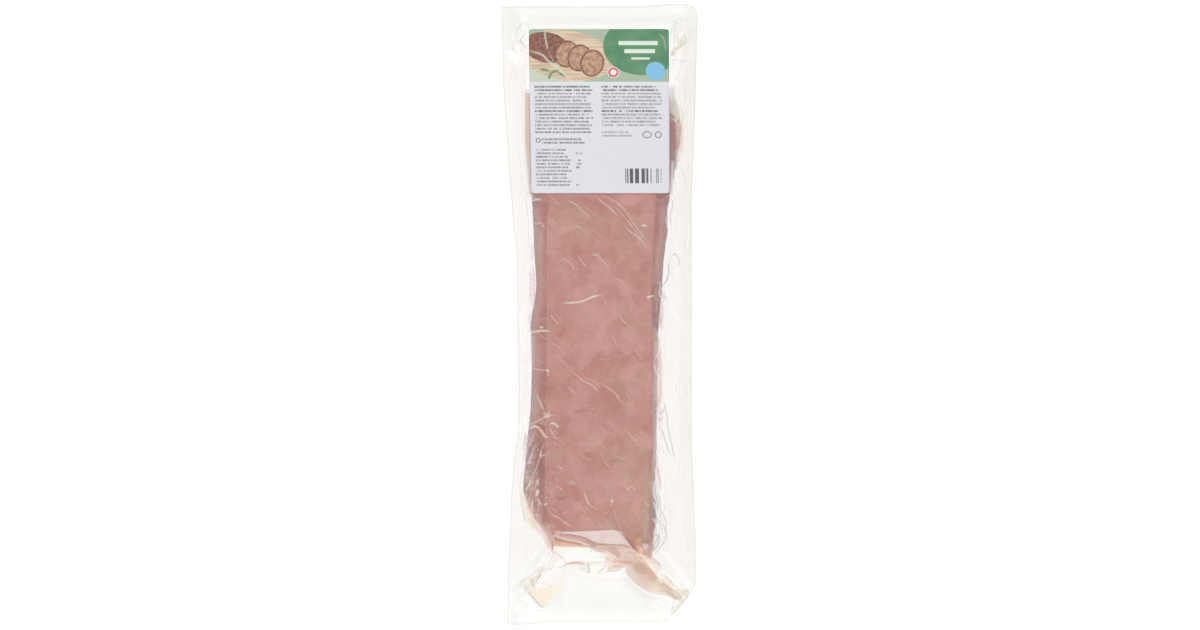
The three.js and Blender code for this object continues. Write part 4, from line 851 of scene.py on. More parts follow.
class Marks:
    """What the creases and patches add at a set of points: a lift, and a colour with its cover."""

    def __init__(self, x, y):
        self.x, self.y = x.ravel(), y.ravel()
        self.lift = np.zeros(self.x.shape)
        self.paint = np.zeros((len(self.x), 3))
        self.cover = np.zeros(self.x.shape)

    def near(self, points, reach):
        """Indices of the points within reach of a path's box."""
        low, high = points.min(0) - reach, points.max(0) + reach
        inside = (self.x > low[0]) & (self.x < high[0]) & (self.y > low[1]) & (self.y < high[1])
        return np.nonzero(inside)[0]

    def distances(self, path, at):
        """Distance from each point to the path, and how far along it the nearest place is, from 0 to 1."""
        x, y = self.x[at], self.y[at]
        best = np.full(x.shape, 1e9)
        place = np.zeros(x.shape)
        lengths = np.hypot(*np.diff(path, axis=0).T)
        total = max(lengths.sum(), 1e-6)
        before = 0.0
        for a, b, length in zip(path, path[1:], lengths):
            dx, dy = b - a
            t = np.clip(((x - a[0]) * dx + (y - a[1]) * dy) / max(length * length, 1e-9), 0, 1)
            away = np.hypot(x - a[0] - t * dx, y - a[1] - t * dy)
            closer = away < best
            best = np.where(closer, away, best)
            place = np.where(closer, (before + t * length) / total, place)
            before += length
        return best, place

    def put(self, at, share, lift, hex_colour, cover):
        """Adds lift and lays the colour over what is there, both times share."""
        alpha = cover * share
        self.lift[at] += lift * share
        self.paint[at] = self.paint[at] * (1 - alpha)[:, None] + np.array(linear(hex_colour)) * alpha[:, None]
        self.cover[at] = self.cover[at] * (1 - alpha) + alpha

    def crease(self, points, half_width, lift, hex_colour, cover):
        """A bell across a smooth path, tapering over the last fifth at both ends."""
        path = smooth_path(points)
        at = self.near(path, 2.5 * half_width)
        if len(at):
            away, place = self.distances(path, at)
            taper = smoothstep(np.minimum(place, 1 - place), -0.05, 0.2)
            self.put(at, np.exp(-((away / half_width) ** 2) * 1.4) * taper, lift, hex_colour, cover)

    def patch(self, points, lift, hex_colour, cover, soft):
        """A polygon with a soft rim: inside by the even-odd rule, faded by the distance to its sides."""
        ring = np.array(points + points[:1], float)
        at = self.near(ring, soft)
        if not len(at):
            return
        x, y = self.x[at], self.y[at]
        inside = np.zeros(x.shape, bool)
        for (x0, y0), (x1, y1) in zip(ring, ring[1:]):
            if y0 != y1:
                crosses = ((y0 > y) != (y1 > y)) & (x < (x1 - x0) * (y - y0) / (y1 - y0) + x0)
                inside ^= crosses
        away, _ = self.distances(ring, at)
        signed = np.where(inside, away, -away)
        self.put(at, smoothstep(signed, -soft, soft), lift, hex_colour, cover)

    def colours(self):
        """RGBA for each point, the colour unmixed from its cover."""
        rgb = self.paint / np.maximum(self.cover, 1e-6)[:, None]
        return np.concatenate([rgb, self.cover[:, None]], axis=1)


def grid_faces(rows, columns, first, flip=False):
    """Quads of a grid whose points start at an index, counter-clockwise seen from +Z unless flipped."""
    r, c = np.meshgrid(np.arange(rows - 1), np.arange(columns - 1), indexing="ij")
    a = first + (r * columns + c).ravel()
    quads = np.stack([a, a + 1, a + columns + 1, a + columns], axis=1)
    return quads[:, ::-1] if flip else quads


def rim_of(rows, columns, first):
    """Indices round a grid's edge, counter-clockwise seen from +Z."""
    bottom = np.arange(columns)
    right = np.arange(1, rows) * columns + columns - 1
    top = (rows - 1) * columns + np.arange(columns - 2, -1, -1)
    left = np.arange(rows - 2, 0, -1) * columns
    return first + np.concatenate([bottom, right, top, left])


def placed(name, points, faces):
    """A smooth-shaded object from (count, 3) points in mm and faces of point indices."""
    mesh = bpy.data.meshes.new(name)
    mesh.from_pydata((points * MM).tolist(), [], faces)
    mesh.polygons.foreach_set("use_smooth", np.ones(len(mesh.polygons), bool))
    mesh.update()
    piece = bpy.data.objects.new(name, mesh)
    bpy.context.collection.objects.link(piece)
    return piece


def closed_mesh(name, upper, lower):
    """A mesh between an upper and a lower (rows, columns, 3) grid in mm, joined round the rim.

    The lower grid has either as many steps as the upper one each way, or half as many.
    """
    points = np.concatenate([upper.reshape(-1, 3), lower.reshape(-1, 3)])
    count = upper.shape[0] * upper.shape[1]
    quads = np.concatenate([
        grid_faces(*upper.shape[:2], 0),
        grid_faces(*lower.shape[:2], count, flip=True),
    ])
    over, under = rim_of(*upper.shape[:2], 0), rim_of(*lower.shape[:2], count)
    faces = quads.tolist()
    if len(over) == len(under):
        faces += np.stack([over, under, np.roll(under, -1), np.roll(over, -1)], axis=1).tolist()
    else:
        first, middle, last = over[::2], over[1::2], np.roll(over[::2], -1)
        after = np.roll(under, -1)
        faces += np.stack([first, under, middle], axis=1).tolist()
        faces += np.stack([middle, under, after], axis=1).tolist()
        faces += np.stack([middle, after, last], axis=1).tolist()
    return placed(name, points, faces)


def open_sheet(name, points, flip=False):
    """A mesh over one (rows, columns, 3) grid in mm."""
    return placed(name, points.reshape(-1, 3), grid_faces(*points.shape[:2], 0, flip).tolist())


def family_of(rng, count, x_range, y_range, angle, length_range, style, share):
    """Seeded short creases of one style: each a slightly bent line at about the given angle."""
    half_width, lift, hex_colour, cover = STYLES[style]
    out = []
    for _ in range(count):
        centre = np.array([rng.uniform(*x_range), rng.uniform(*y_range)])
        turn = np.radians(rng.normal(*angle))
        length = length_range[0] + (length_range[1] - length_range[0]) * rng.random() ** 2
        way = np.array([np.cos(turn), np.sin(turn)]) * length / 2
        side = np.array([-way[1], way[0]]) * rng.uniform(-0.25, 0.25)
        strength = rng.uniform(0.35, 1.0)
        points = [centre - way, centre + side, centre + way]
        out.append((points, half_width, lift * strength, hex_colour, cover * share * strength))
    return out


def colour_points(piece, name, rgba):
    """Stores one RGBA colour for each vertex, in linear light."""
    layer = piece.data.color_attributes.new(name, "FLOAT_COLOR", "POINT")
    layer.data.foreach_set("color", np.ascontiguousarray(rgba, np.float32).ravel())


def add(tree, kind, inputs=None, **settings):
    """Adds one node: settings are its properties, inputs are values or the sockets that feed it."""
    node = tree.nodes.new(kind)
    for name, value in settings.items():
        setattr(node, name, value)
    for socket, value in (inputs or {}).items():
        if isinstance(value, bpy.types.NodeSocket):
            tree.links.new(value, node.inputs[socket])
        else:
            node.inputs[socket].default_value = value
    return node


def new_material(name):
    """An empty node material and its tree."""
    material = bpy.data.materials.new(name)
    material.use_nodes = True
    material.node_tree.nodes.clear()
    return material, material.node_tree


def rgba(hex_colour):
    """A hex colour as a linear RGBA value for a socket."""
    return (*linear(hex_colour), 1.0)


def object_mm(tree):
    """Object coordinates in millimetres."""
    place = add(tree, "ShaderNodeTexCoord")
    return add(tree, "ShaderNodeVectorMath", {0: place.outputs["Object"], "Scale": 1 / MM}, operation="SCALE")


def turned(tree, vector, degrees, scale):
    """The vector turned about Z so that X runs along a grain, then stretched."""
    turn = add(tree, "ShaderNodeMapping", {"Vector": vector, "Rotation": (0, 0, np.radians(degrees))})
    return add(tree, "ShaderNodeVectorMath", {0: turn.outputs[0], 1: scale}, operation="MULTIPLY").outputs[0]


def blotches(tree, vector, size_mm, low, high, detail=3.0):
    """Noise of a given size in mm, spread so that low to high becomes 0 to 1."""
    noise = add(tree, "ShaderNodeTexNoise", {"Vector": vector, "Scale": 1 / size_mm, "Detail": detail})
    limits = {"Value": noise.outputs["Fac"], "From Min": low, "From Max": high}
    return add(tree, "ShaderNodeMapRange", limits, interpolation_type="SMOOTHSTEP").outputs[0]


def painted(tree, colour, *coats):
    """The colour under one coat after another, each a pair of its share and its colour."""
    for share, coat in coats:
        colour = add(tree, "ShaderNodeMix", {0: share, 6: colour, 7: coat}, data_type="RGBA").outputs[2]
    return colour


def overlap(tree, mask, *others):
    """What masks have in common: their product, where a plain number weakens the rest."""
    for other in others:
        mask = add(tree, "ShaderNodeMath", {0: mask, 1: other}, operation="MULTIPLY").outputs[0]
    return mask


def meat_material():
    """Raw salted pork loin, trimmed and wet: dusty pink muscle in soft patches of deeper and tanner
    tone, a faint diagonal grain and pale flecks of fat, so the eye reads flesh pressed under film."""
    look = bpy.context.scene.pork_colours
    material, tree = new_material("raw_salted_pork")
    place = object_mm(tree).outputs[0]
    grain = turned(tree, place, 42, (0.3, 1.0, 1.0))
    colour = painted(
        tree, (*look.pink, 1),
        (blotches(tree, place, 30, 0.4, 0.62), (*look.deep, 1)),
        (overlap(tree, blotches(tree, place, 41, 0.5, 0.66, 2.0), 0.8), (*look.tan, 1)),
    )
    bend = add(tree, "ShaderNodeTexNoise", {"Vector": place, "Scale": 0.12, "Detail": 3.0})
    bent = add(
        tree, "ShaderNodeVectorMath", {0: bend.outputs["Color"], 1: (14, 14, 0), 2: place},
        operation="MULTIPLY_ADD",
    )
    for size_mm, light, dark, amount in ((15, "D6ACA2", "AE7569", 0.29), (6.5, "D9B0A4", "B27C70", 0.17)):
        cells = add(
            tree, "ShaderNodeTexVoronoi",
            {"Vector": bent.outputs[0], "Scale": 1 / size_mm, "Smoothness": 0.25}, feature="SMOOTH_F1",
        )
        tone = add(tree, "ShaderNodeSeparateColor", {0: cells.outputs["Color"]})
        spread = add(
            tree, "ShaderNodeMapRange", {"Value": tone.outputs[0], "From Min": 0.15, "From Max": 0.85},
        )
        patch = painted(tree, rgba(dark), (spread.outputs[0], rgba(light)))
        colour = painted(tree, colour, (amount, patch))
    flecks = overlap(tree, blotches(tree, grain, 1.3, 0.5, 0.72, 4.0), 0.16)
    tint = add(tree, "ShaderNodeAttribute", attribute_name="tint")
    colour = painted(
        tree, colour, (flecks, rgba("E0BCB0")), (tint.outputs["Alpha"], tint.outputs["Color"]),
    )
    fibre = add(tree, "ShaderNodeTexNoise", {"Vector": grain, "Scale": 0.9, "Detail": 4.0})
    relief = add(
        tree, "ShaderNodeBump", {"Height": fibre.outputs["Fac"], "Strength": 0.25, "Distance": 0.3 * MM},
    )
    surface = add(
        tree, "ShaderNodeBsdfPrincipled",
        {"Base Color": colour, "Roughness": 0.42, "IOR": 1.38, "Normal": relief.outputs[0]},
    )
    add(tree, "ShaderNodeOutputMaterial", {"Surface": surface.outputs[0]})
    return material


def film_material():
    """Deep-drawn polyamide-polyethylene film: clear with a trace of warm grey, glossy where it turns away
    from the eye, and milky, stained or carrying painted highlights and painted shade where the marks on its
    points say so."""
    look = bpy.context.scene.pork_colours
    material, tree = new_material("clear_vacuum_film")
    place = object_mm(tree).outputs[0]
    long_grain = add(tree, "ShaderNodeVectorMath", {0: place, 1: (1.0, 0.12, 1.0)}, operation="MULTIPLY")
    streaks = blotches(tree, long_grain.outputs[0], 3.2, 0.4, 0.68)
    clear = painted(tree, (*look.film, 1), (streaks, (*look.film_streak, 1)))
    through = add(tree, "ShaderNodeBsdfTransparent", {"Color": clear})
    facing = add(tree, "ShaderNodeLayerWeight", {"Blend": 0.5})
    steep = add(tree, "ShaderNodeMath", {0: facing.outputs["Facing"], 1: 5.0}, operation="POWER")
    shine = add(tree, "ShaderNodeMapRange", {"Value": steep.outputs[0], "To Min": 0.045, "To Max": 0.9})
    crinkle = add(tree, "ShaderNodeTexNoise", {"Vector": place, "Scale": 0.45, "Detail": 5.0})
    relief = add(
        tree, "ShaderNodeBump", {"Height": crinkle.outputs["Fac"], "Strength": 0.35, "Distance": 0.35 * MM},
    )
    gloss = add(
        tree, "ShaderNodeBsdfAnisotropic",
        {"Color": (1, 1, 1, 1), "Roughness": 0.12, "Normal": relief.outputs[0]},
    )
    sheet = add(
        tree, "ShaderNodeMixShader", {0: shine.outputs[0], 1: through.outputs[0], 2: gloss.outputs[0]},
    )
    marks = add(tree, "ShaderNodeAttribute", attribute_name="marks")
    # The marks' colour: milky and stained film, with painted highlights and painted shade laid in it.
    milk_and_painted_light = add(tree, "ShaderNodeBsdfPrincipled", {"Base Color": marks.outputs["Color"], "Roughness": 0.45})
    whole = add(
        tree, "ShaderNodeMixShader", {0: marks.outputs["Alpha"], 1: sheet.outputs[0], 2: milk_and_painted_light.outputs[0]},
    )
    add(tree, "ShaderNodeOutputMaterial", {"Surface": whole.outputs[0]})
    return material


def between(tree, value, low, high, soft=0.25):
    """1 where the value lies between low and high, with soft edges of that width."""
    half = soft / 2
    rise = add(tree, "ShaderNodeMapRange", {"Value": value, "From Min": low - half, "From Max": low + half})
    fall = add(tree, "ShaderNodeMapRange", {"Value": value, "From Min": high + half, "From Max": high - half})
    return overlap(tree, rise.outputs[0], fall.outputs[0])


def box_mask(tree, u, v, u_range, v_range):
    """1 inside an upright rectangle of the label."""
    return overlap(tree, between(tree, u, *u_range), between(tree, v, *v_range))


def oval_mask(tree, uv, centre, radii, degrees=0.0, soft=0.3, ragged=0.0):
    """1 inside a turned ellipse: the distance from its centre in radii, roughened by noise, is under 1."""
    moved = add(tree, "ShaderNodeVectorMath", {0: uv, 1: (*centre, 0)}, operation="SUBTRACT")
    in_radii = (1 / radii[0], 1 / radii[1], 0)
    sized = turned(tree, moved.outputs[0], degrees, in_radii)
    away = add(tree, "ShaderNodeVectorMath", {0: sized}, operation="LENGTH").outputs["Value"]
    if ragged:
        noise = add(tree, "ShaderNodeTexNoise", {"Vector": uv, "Scale": 0.35, "Detail": 4.0})
        sources = {0: noise.outputs["Fac"], 1: ragged, 2: away}
        away = add(tree, "ShaderNodeMath", sources, operation="MULTIPLY_ADD").outputs[0]
    edge = soft / min(radii)
    limits = {"From Min": 1 + ragged / 2 + edge / 2, "From Max": 1 + ragged / 2 - edge / 2}
    return add(tree, "ShaderNodeMapRange", {"Value": away, **limits}).outputs[0]


def text_mask(tree, u, v, u_range, v_range, seed):
    """Rows of word-sized dark blotches inside a rectangle: no letters, only the grey of small print."""
    row = add(tree, "ShaderNodeMath", {0: v, 1: 1 / TEXT_PITCH}, operation="MULTIPLY").outputs[0]
    number = add(tree, "ShaderNodeMath", {0: row}, operation="FLOOR").outputs[0]
    inside = add(tree, "ShaderNodeMath", {0: row}, operation="FRACT").outputs[0]
    band = between(tree, inside, 0.22, 0.74, 0.24)
    shift = add(tree, "ShaderNodeMath", {0: number, 1: 7.31, 2: seed}, operation="MULTIPLY_ADD").outputs[0]
    line = add(tree, "ShaderNodeCombineXYZ", {0: u, 1: shift}).outputs[0]
    words = blotches(tree, line, 2.1, 0.33, 0.38, 1.0)
    letters = blotches(tree, line, 0.6, 0.26, 0.58, 1.0)
    ragged = add(tree, "ShaderNodeTexWhiteNoise", {"W": shift}, noise_dimensions="1D").outputs["Value"]
    limits = {"Value": ragged, "To Min": u_range[1] - 7, "To Max": u_range[1]}
    end = add(tree, "ShaderNodeMapRange", limits).outputs[0]
    before_end = add(tree, "ShaderNodeMath", {0: u, 1: end}, operation="LESS_THAN").outputs[0]
    ink = overlap(tree, overlap(tree, words, letters), overlap(tree, band, before_end))
    return overlap(tree, ink, box_mask(tree, u, v, u_range, v_range))


def label_picture(tree, uv, u, v):
    """The picture band: sliced roast and leaves on a board at the left, a green field with plain pale
    bars at the right, a blue disc and a red ring, all of them ovals and boxes."""
    picture = painted(tree, rgba("A9BBA2"), (oval_mask(tree, uv, (8, 36), (34, 17), 8), rgba("C9D3BB")))
    along_board = add(tree, "ShaderNodeVectorMath", {0: uv, 1: (0.06, 1.0, 1.0)}, operation="MULTIPLY")
    board_grain = blotches(tree, along_board.outputs[0], 1.6, 0.38, 0.62)
    wood = painted(tree, rgba("E3CDB2"), (board_grain, rgba("CDB092")))
    crust = painted(tree, rgba("6E4436"), (blotches(tree, uv, 2.2, 0.4, 0.6), rgba("9A6248")))
    roast = painted(tree, rgba("C79C80"), (blotches(tree, uv, 3.0, 0.4, 0.62), rgba("A9785E")))
    leaf = painted(tree, rgba("5E8A55"), (blotches(tree, uv, 1.4, 0.4, 0.6), rgba("87A86E")))
    field = painted(tree, rgba("47835A"), (blotches(tree, uv, 14, 0.35, 0.7), rgba("5F9468")))
    ovals = [((27, 20), (34, 19), -9, 0.3, 0.0, wood), ((13, 14), (17, 11.5), -14, 0.3, 0.14, crust)]
    for centre in SLICES:
        ovals.append((centre, (8.6, 10.4), -14, 0.3, 0.08, crust))
        ovals.append((centre, (7.3, 9.1), -14, 0.3, 0.1, roast))
    for centre, angle in LEAVES:
        ovals.append((centre, (3.4, 1.1), angle, 0.2, 0.0, leaf))
    ovals.append(((82, 12), (29, 23), 6, 0.3, 0.0, field))
    for *oval, colour in ovals:
        picture = painted(tree, picture, (oval_mask(tree, uv, *oval), colour))
    for bar_u, bar_v in TITLE_BARS:
        bar = overlap(tree, box_mask(tree, u, v, bar_u, bar_v), 0.92)
        picture = painted(tree, picture, (bar, rgba("E9F1E6")))
    for centre, radius, share, hex_colour in BADGES:
        disc = overlap(tree, oval_mask(tree, uv, centre, (radius, radius)), share)
        picture = painted(tree, picture, (disc, rgba(hex_colour)))
    return picture


def label_ink(tree, uv, u, v):
    """Where the dark ink is: blocks of small print, three outlined signs and the bar code."""
    masks = []
    for u_range, v_range, seed, dark in TEXT_BLOCKS:
        masks.append(overlap(tree, text_mask(tree, u, v, u_range, v_range, seed), dark))
    for centre, radii in SIGNS:
        outer = oval_mask(tree, uv, centre, radii)
        inner = oval_mask(tree, uv, centre, (radii[0] - SIGN_LINE, radii[1] - SIGN_LINE))
        masks.append(add(tree, "ShaderNodeMath", {0: outer, 1: inner}, operation="SUBTRACT").outputs[0])
    strip = add(tree, "ShaderNodeCombineXYZ", {0: u, 1: 5.0})
    bars = blotches(tree, strip.outputs[0], 0.75, 0.48, 0.52, 0.0)
    masks.append(overlap(tree, bars, box_mask(tree, u, v, *BAR_CODE)))
    ink = masks[0]
    for mask in masks[1:]:
        ink = add(tree, "ShaderNodeMath", {0: ink, 1: mask}, operation="MAXIMUM").outputs[0]
    return ink


def label_material():
    """Semi-gloss label paper: a coloured picture band over pale paper with small grey print.
    The print is plain fields, ovals and bars, so the eye reads a food label with no words."""
    look = bpy.context.scene.pork_colours
    material, tree = new_material("printed_label_paper")
    chart = add(tree, "ShaderNodeUVMap", uv_map="print")
    in_mm = add(tree, "ShaderNodeVectorMath", {0: chart.outputs[0], "Scale": CHART_MM}, operation="SCALE")
    uv = in_mm.outputs[0]
    parts = add(tree, "ShaderNodeSeparateXYZ", {0: uv})
    u, v = parts.outputs[0], parts.outputs[1]
    marks = add(tree, "ShaderNodeAttribute", attribute_name="marks")
    colour = painted(
        tree, (*look.label_paper, 1),
        (between(tree, v, -5, LABEL_HEADER, 0.3), label_picture(tree, uv, u, v)),
        (overlap(tree, label_ink(tree, uv, u, v), 0.9), rgba("3B3A40")),
        (marks.outputs["Alpha"], marks.outputs["Color"]),
    )
    tooth = add(tree, "ShaderNodeTexNoise", {"Vector": uv, "Scale": 0.8, "Detail": 4.0})
    relief = add(
        tree, "ShaderNodeBump", {"Height": tooth.outputs["Fac"], "Strength": 0.1, "Distance": 0.1 * MM},
    )
    surface = add(
        tree, "ShaderNodeBsdfPrincipled",
        {"Base Color": colour, "Roughness": 0.45, "Normal": relief.outputs[0]},
    )
    add(tree, "ShaderNodeOutputMaterial", {"Surface": surface.outputs[0]})
    return material


def floor_material():
    """Matt acrylic with a grey base and a strong even glow of its own, so the floor reads near white
    and the shade under the film stays pale."""
    light = bpy.context.scene.pork_stage
    material, tree = new_material("matt_white_acrylic")
    surface = add(
        tree, "ShaderNodeBsdfPrincipled",
        {"Base Color": (*light.floor, 1), "Roughness": 0.7, "Emission Color": (1, 1, 1, 1),
         "Emission Strength": light.glow},
    )
    add(tree, "ShaderNodeOutputMaterial", {"Surface": surface.outputs[0]})
    return material


def meat_tint(x, yy, left, flat_left, flat_right, right):
    """Colours laid over the muscle: side bands greyer towards their outer edge, partly film haze and partly
    painted shade of the falling slope, warm at the bare end and redder next to the flat, pale fat at the
    end's left corner, and one dull tone over the whole underside."""
    from_left = (x - left[:, None]) / (flat_left - left)[:, None]
    from_right = (right[:, None] - x) / (right - flat_right)[:, None]
    band = np.clip(np.minimum(from_left, from_right), 0, 1)
    outer = 1 - smoothstep(band, 0.1, 0.55)
    inner = smoothstep(band, 0.4, 0.8) * (1 - smoothstep(band, 0.9, 1.0))
    fat = (1 - smoothstep(yy, -168, -159.5)) * (1 - smoothstep(x, -9, -5))
    marks = Marks(x, yy)
    everywhere = np.arange(x.size)
    # Painted shade on the outer part of each side band, mixed with the grey of the film haze there.
    marks.put(everywhere, outer.ravel(), 0, "BBA3A3", 0.6)
    marks.put(everywhere, (outer * (1 - smoothstep(yy, -158, -132))).ravel(), 0, "E0B3A5", 0.8)
    marks.put(everywhere, inner.ravel(), 0, "B07C79", 0.45)
    marks.put(everywhere, fat.ravel(), 0, "F3D3B3", 0.9)
    below = np.tile([*linear("BC897C"), 0.3], (x.size, 1))
    return np.concatenate([marks.colours(), below])


def make_meat():
    """The loin: rows along the pack, columns between its side lines, top and underside joined
    at the height of the seal. The top follows the film's body less a clearance, both ends close in
    quarter rounds, and the bare end's right corner reaches further down."""
    gap = bpy.context.scene.pork_sizes.clearance / MM
    y = rows_of(LOIN_ROWS)
    left, right = along(MEAT_LEFT, y) + gap, along(MEAT_RIGHT, y) - gap
    flat_left, flat_right = along(FLAT_LEFT, y), along(FLAT_RIGHT, y)
    x = columns_of([left, flat_left, flat_right, right], LOIN_STEPS)
    level = y[:, None] + 0 * x
    yy = level - CORNER_LEAN * smoothstep(x, 20, 36) * (1 - smoothstep(level, LOIN_END, LOIN_END + 14))
    rim = margin_height(x, yy) - SEAM_DROP
    bare_end, labelled_end = (level - LOIN_END) / CLOSING_END, (LOIN_START - level) / CLOSING_START
    closing = quarter_round(bare_end) * quarter_round(labelled_end)
    top = rim + (body_height(x, yy) - gap + 0.5) * closing
    top = np.maximum(top - 0.12 * (1 - closing), rim + 0.02)
    under = (rim - 0.1) * (1 - lower_depth(x, yy) * closing) + gap * lower_depth(x, yy)
    edge = np.minimum(np.arange(x.shape[1]), np.arange(x.shape[1])[::-1])[None, :] / 2.0
    under = rim - 0.05 - (rim - 0.05 - under) * np.clip(edge, 0, 1)
    piece = closed_mesh("pork_loin", np.stack([x, yy, top], 2), np.stack([x, yy, under], 2))
    colour_points(piece, "tint", meat_tint(x, yy, left, flat_left, flat_right, right))
    piece.data.materials.append(meat_material())
    return piece


def skin_marks(x, yy, level):
    """Everything that lies in the upper skin, in this order: the haze over both end margins, the
    patches, the seeded families, the placed creases and the line along the cut edge."""
    marks = Marks(x, yy)
    rng = np.random.default_rng(SEED)
    everywhere = np.arange(x.size)
    ends = smoothstep(np.abs(level), 188, 212) * (1 - 0.45 * smoothstep(np.abs(x), 44, 64))
    marks.put(everywhere, ends.ravel(), 0, "DDDCD7", 0.42)
    for patch in PATCHES:
        marks.patch(*patch)
    for family in FAMILIES:
        for crease in family_of(rng, *family):
            marks.crease(*crease)
    for style, points in TOP_CREASES + SIDE_CREASES + END_CREASES:
        marks.crease(points, *STYLES[style])
    sides = np.minimum(x - film_left(level), film_right(level) - x)
    inset = np.minimum(sides, np.minimum(level - FILM_BOTTOM, FILM_TOP - level))
    marks.put(everywhere, 1 - smoothstep(inset.ravel(), 0.3, 1.2), 0, "DEDBD0", 0.55)
    return marks


def under_label(x, y):
    """1 where the label lies over the film, with a soft rim."""
    along_y = smoothstep(y, LABEL_BOTTOM - 1, LABEL_BOTTOM + 1) * smoothstep(LABEL_TOP + 1 - y, 0, 2)
    across = smoothstep(x - along(LABEL_LEFT, y), -1, 1) * smoothstep(along(LABEL_RIGHT, y) - x, -1, 1)
    return along_y * across


def make_upper_skin(film):
    """The upper skin: the pack's top with every crease lifted out of it. It is cut into the gathered
    foot and, above that, two side parts and the middle, which meet edge to edge."""
    y = rows_of(UPPER_ROWS)
    inner_lines = [along(stations, y) for stations in (MEAT_LEFT, FLAT_LEFT, FLAT_RIGHT, MEAT_RIGHT)]
    x = columns_of([film_left(y), *inner_lines, film_right(y)], UPPER_STEPS)
    level = y[:, None] + 0 * x
    yy = bowed(x, level)
    marks = skin_marks(x, yy, level)
    bare = 1 - under_label(x, level)
    lift = marks.lift.reshape(x.shape) * bpy.context.scene.pork_sizes.crease_scale * bare
    height = np.minimum(pack_top(x, level) + np.clip(lift, LIFT_LOW, LIFT_HIGH), CREST)
    top = np.stack([x, yy, height], 2)
    colours = marks.colours().reshape(*x.shape, 4)
    colours[:, :, 3] *= bare
    foot = int(np.searchsorted(y, FOOT_CUT - 1e-6))
    cuts = np.cumsum([0, sum(UPPER_STEPS[:2]), UPPER_STEPS[2], sum(UPPER_STEPS[3:])])
    parts = [("film_foot", slice(0, foot + 1), slice(None))]
    for name, first, last in zip(("film_left", "film_middle", "film_right"), cuts, cuts[1:]):
        parts.append((name, slice(foot, None), slice(first, last + 1)))
    pieces = []
    for name, rows, columns in parts:
        piece = open_sheet(name, top[rows, columns])
        colour_points(piece, "marks", colours[rows, columns].reshape(-1, 4))
        piece.data.materials.append(film)
        pieces.append(piece)
    return pieces


def make_lower_skin(film):
    """The lower skin: it hangs from the margin round the meat down to the table, with quarter-round
    walls that are pleated by two sines along the pack."""
    y = rows_of(LOWER_ROWS)
    left, right = along(MEAT_LEFT, y), along(MEAT_RIGHT, y)
    guides = [film_left(y), left, left + LOWER_EDGE, right - LOWER_EDGE, right, film_right(y)]
    hung = columns_of(guides, LOWER_STEPS)
    even = columns_of([film_left(y), film_right(y)], [sum(LOWER_STEPS)])
    near_end = smoothstep(np.abs(y), 184, 206)[:, None]
    x = hung * (1 - near_end) + even * near_end
    level = y[:, None] + 0 * x
    depth = lower_depth(x, level)
    rows, columns = np.arange(len(y))[:, None], np.arange(x.shape[1])[None, :]
    rim = np.minimum(np.minimum(columns, columns[:, ::-1]), np.minimum(rows, rows[::-1]))
    gap = bpy.context.scene.pork_sizes.film_gap / MM * np.clip(rim / 2.0, 0, 1)
    z = (margin_height(x, level) - gap) * (1 - depth) + 0.05 * depth
    pleat = np.sin(level * 0.71 + 2.2 * np.sin(level * 0.13)) * 0.5 + np.sin(level * 1.9) * 0.25
    wall = depth * (1 - depth) * 4 * (np.abs(level) < 184)
    x = x - np.sign(x) * np.abs(pleat) * wall
    piece = open_sheet("film_pocket", np.stack([x, bowed(x, level), z], 2), flip=True)
    colour_points(piece, "marks", np.zeros((x.size, 4)))
    piece.data.materials.append(film)
    return piece


def make_film():
    """Both skins of the film, which share one material and meet round the margin's edge."""
    film = film_material()
    return make_upper_skin(film) + [make_lower_skin(film)]


def make_label():
    """The label: a sheet with round corners on the pack's top, its print chart measured along it."""
    size = bpy.context.scene.pork_sizes
    y = rows_of(LABEL_ROWS)
    inset = corner_inset(np.minimum(y - LABEL_BOTTOM, LABEL_TOP - y), LABEL_CORNER)
    left, right = along(LABEL_LEFT, y), along(LABEL_RIGHT, y)
    x = columns_of([left + inset, left + 2, right - 2, right - inset], LABEL_STEPS)
    yy = y[:, None] + 0 * x
    marks = Marks(x, yy)
    for points, half_width, hex_colour, cover in LABEL_FOLDS_AND_SHEEN:
        marks.crease(points, half_width, FOLD_LIFT, hex_colour, cover)
    base = pack_top(x, yy) + size.label_gap / MM + marks.lift.reshape(x.shape)
    wave = 0.12 * np.sin(x / 17 + yy / 23) * smoothstep(yy, 88, 96)
    low = base + np.maximum(wave, 0)
    high = low + size.label_thickness / MM
    upper, lower = np.stack([x, yy, high], 2), np.stack([x, yy, low], 2)[::2, ::2]
    piece = closed_mesh("label", upper, lower)
    down = np.zeros(len(y))
    middle = high[:, x.shape[1] // 2]
    down[:-1] = np.cumsum(np.hypot(np.diff(y), np.diff(middle))[::-1])[::-1]
    chart = np.stack([(x - left[:, None]), down[:, None] + 0 * x], 2).reshape(-1, 2) / CHART_MM
    rows, columns = x.shape
    chart = np.concatenate([chart, chart.reshape(rows, columns, 2)[::2, ::2].reshape(-1, 2)])
    layer = piece.data.uv_layers.new(name="print")
    corners = np.empty(len(piece.data.loops), np.int32)
    piece.data.loops.foreach_get("vertex_index", corners)
    layer.data.foreach_set("uv", chart[corners].astype(np.float32).ravel())
    colours = marks.colours()
    below = colours.reshape(rows, columns, 4)[::2, ::2].reshape(-1, 4)
    colour_points(piece, "marks", np.concatenate([colours, below]))
    piece.data.materials.append(label_material())
    return piece


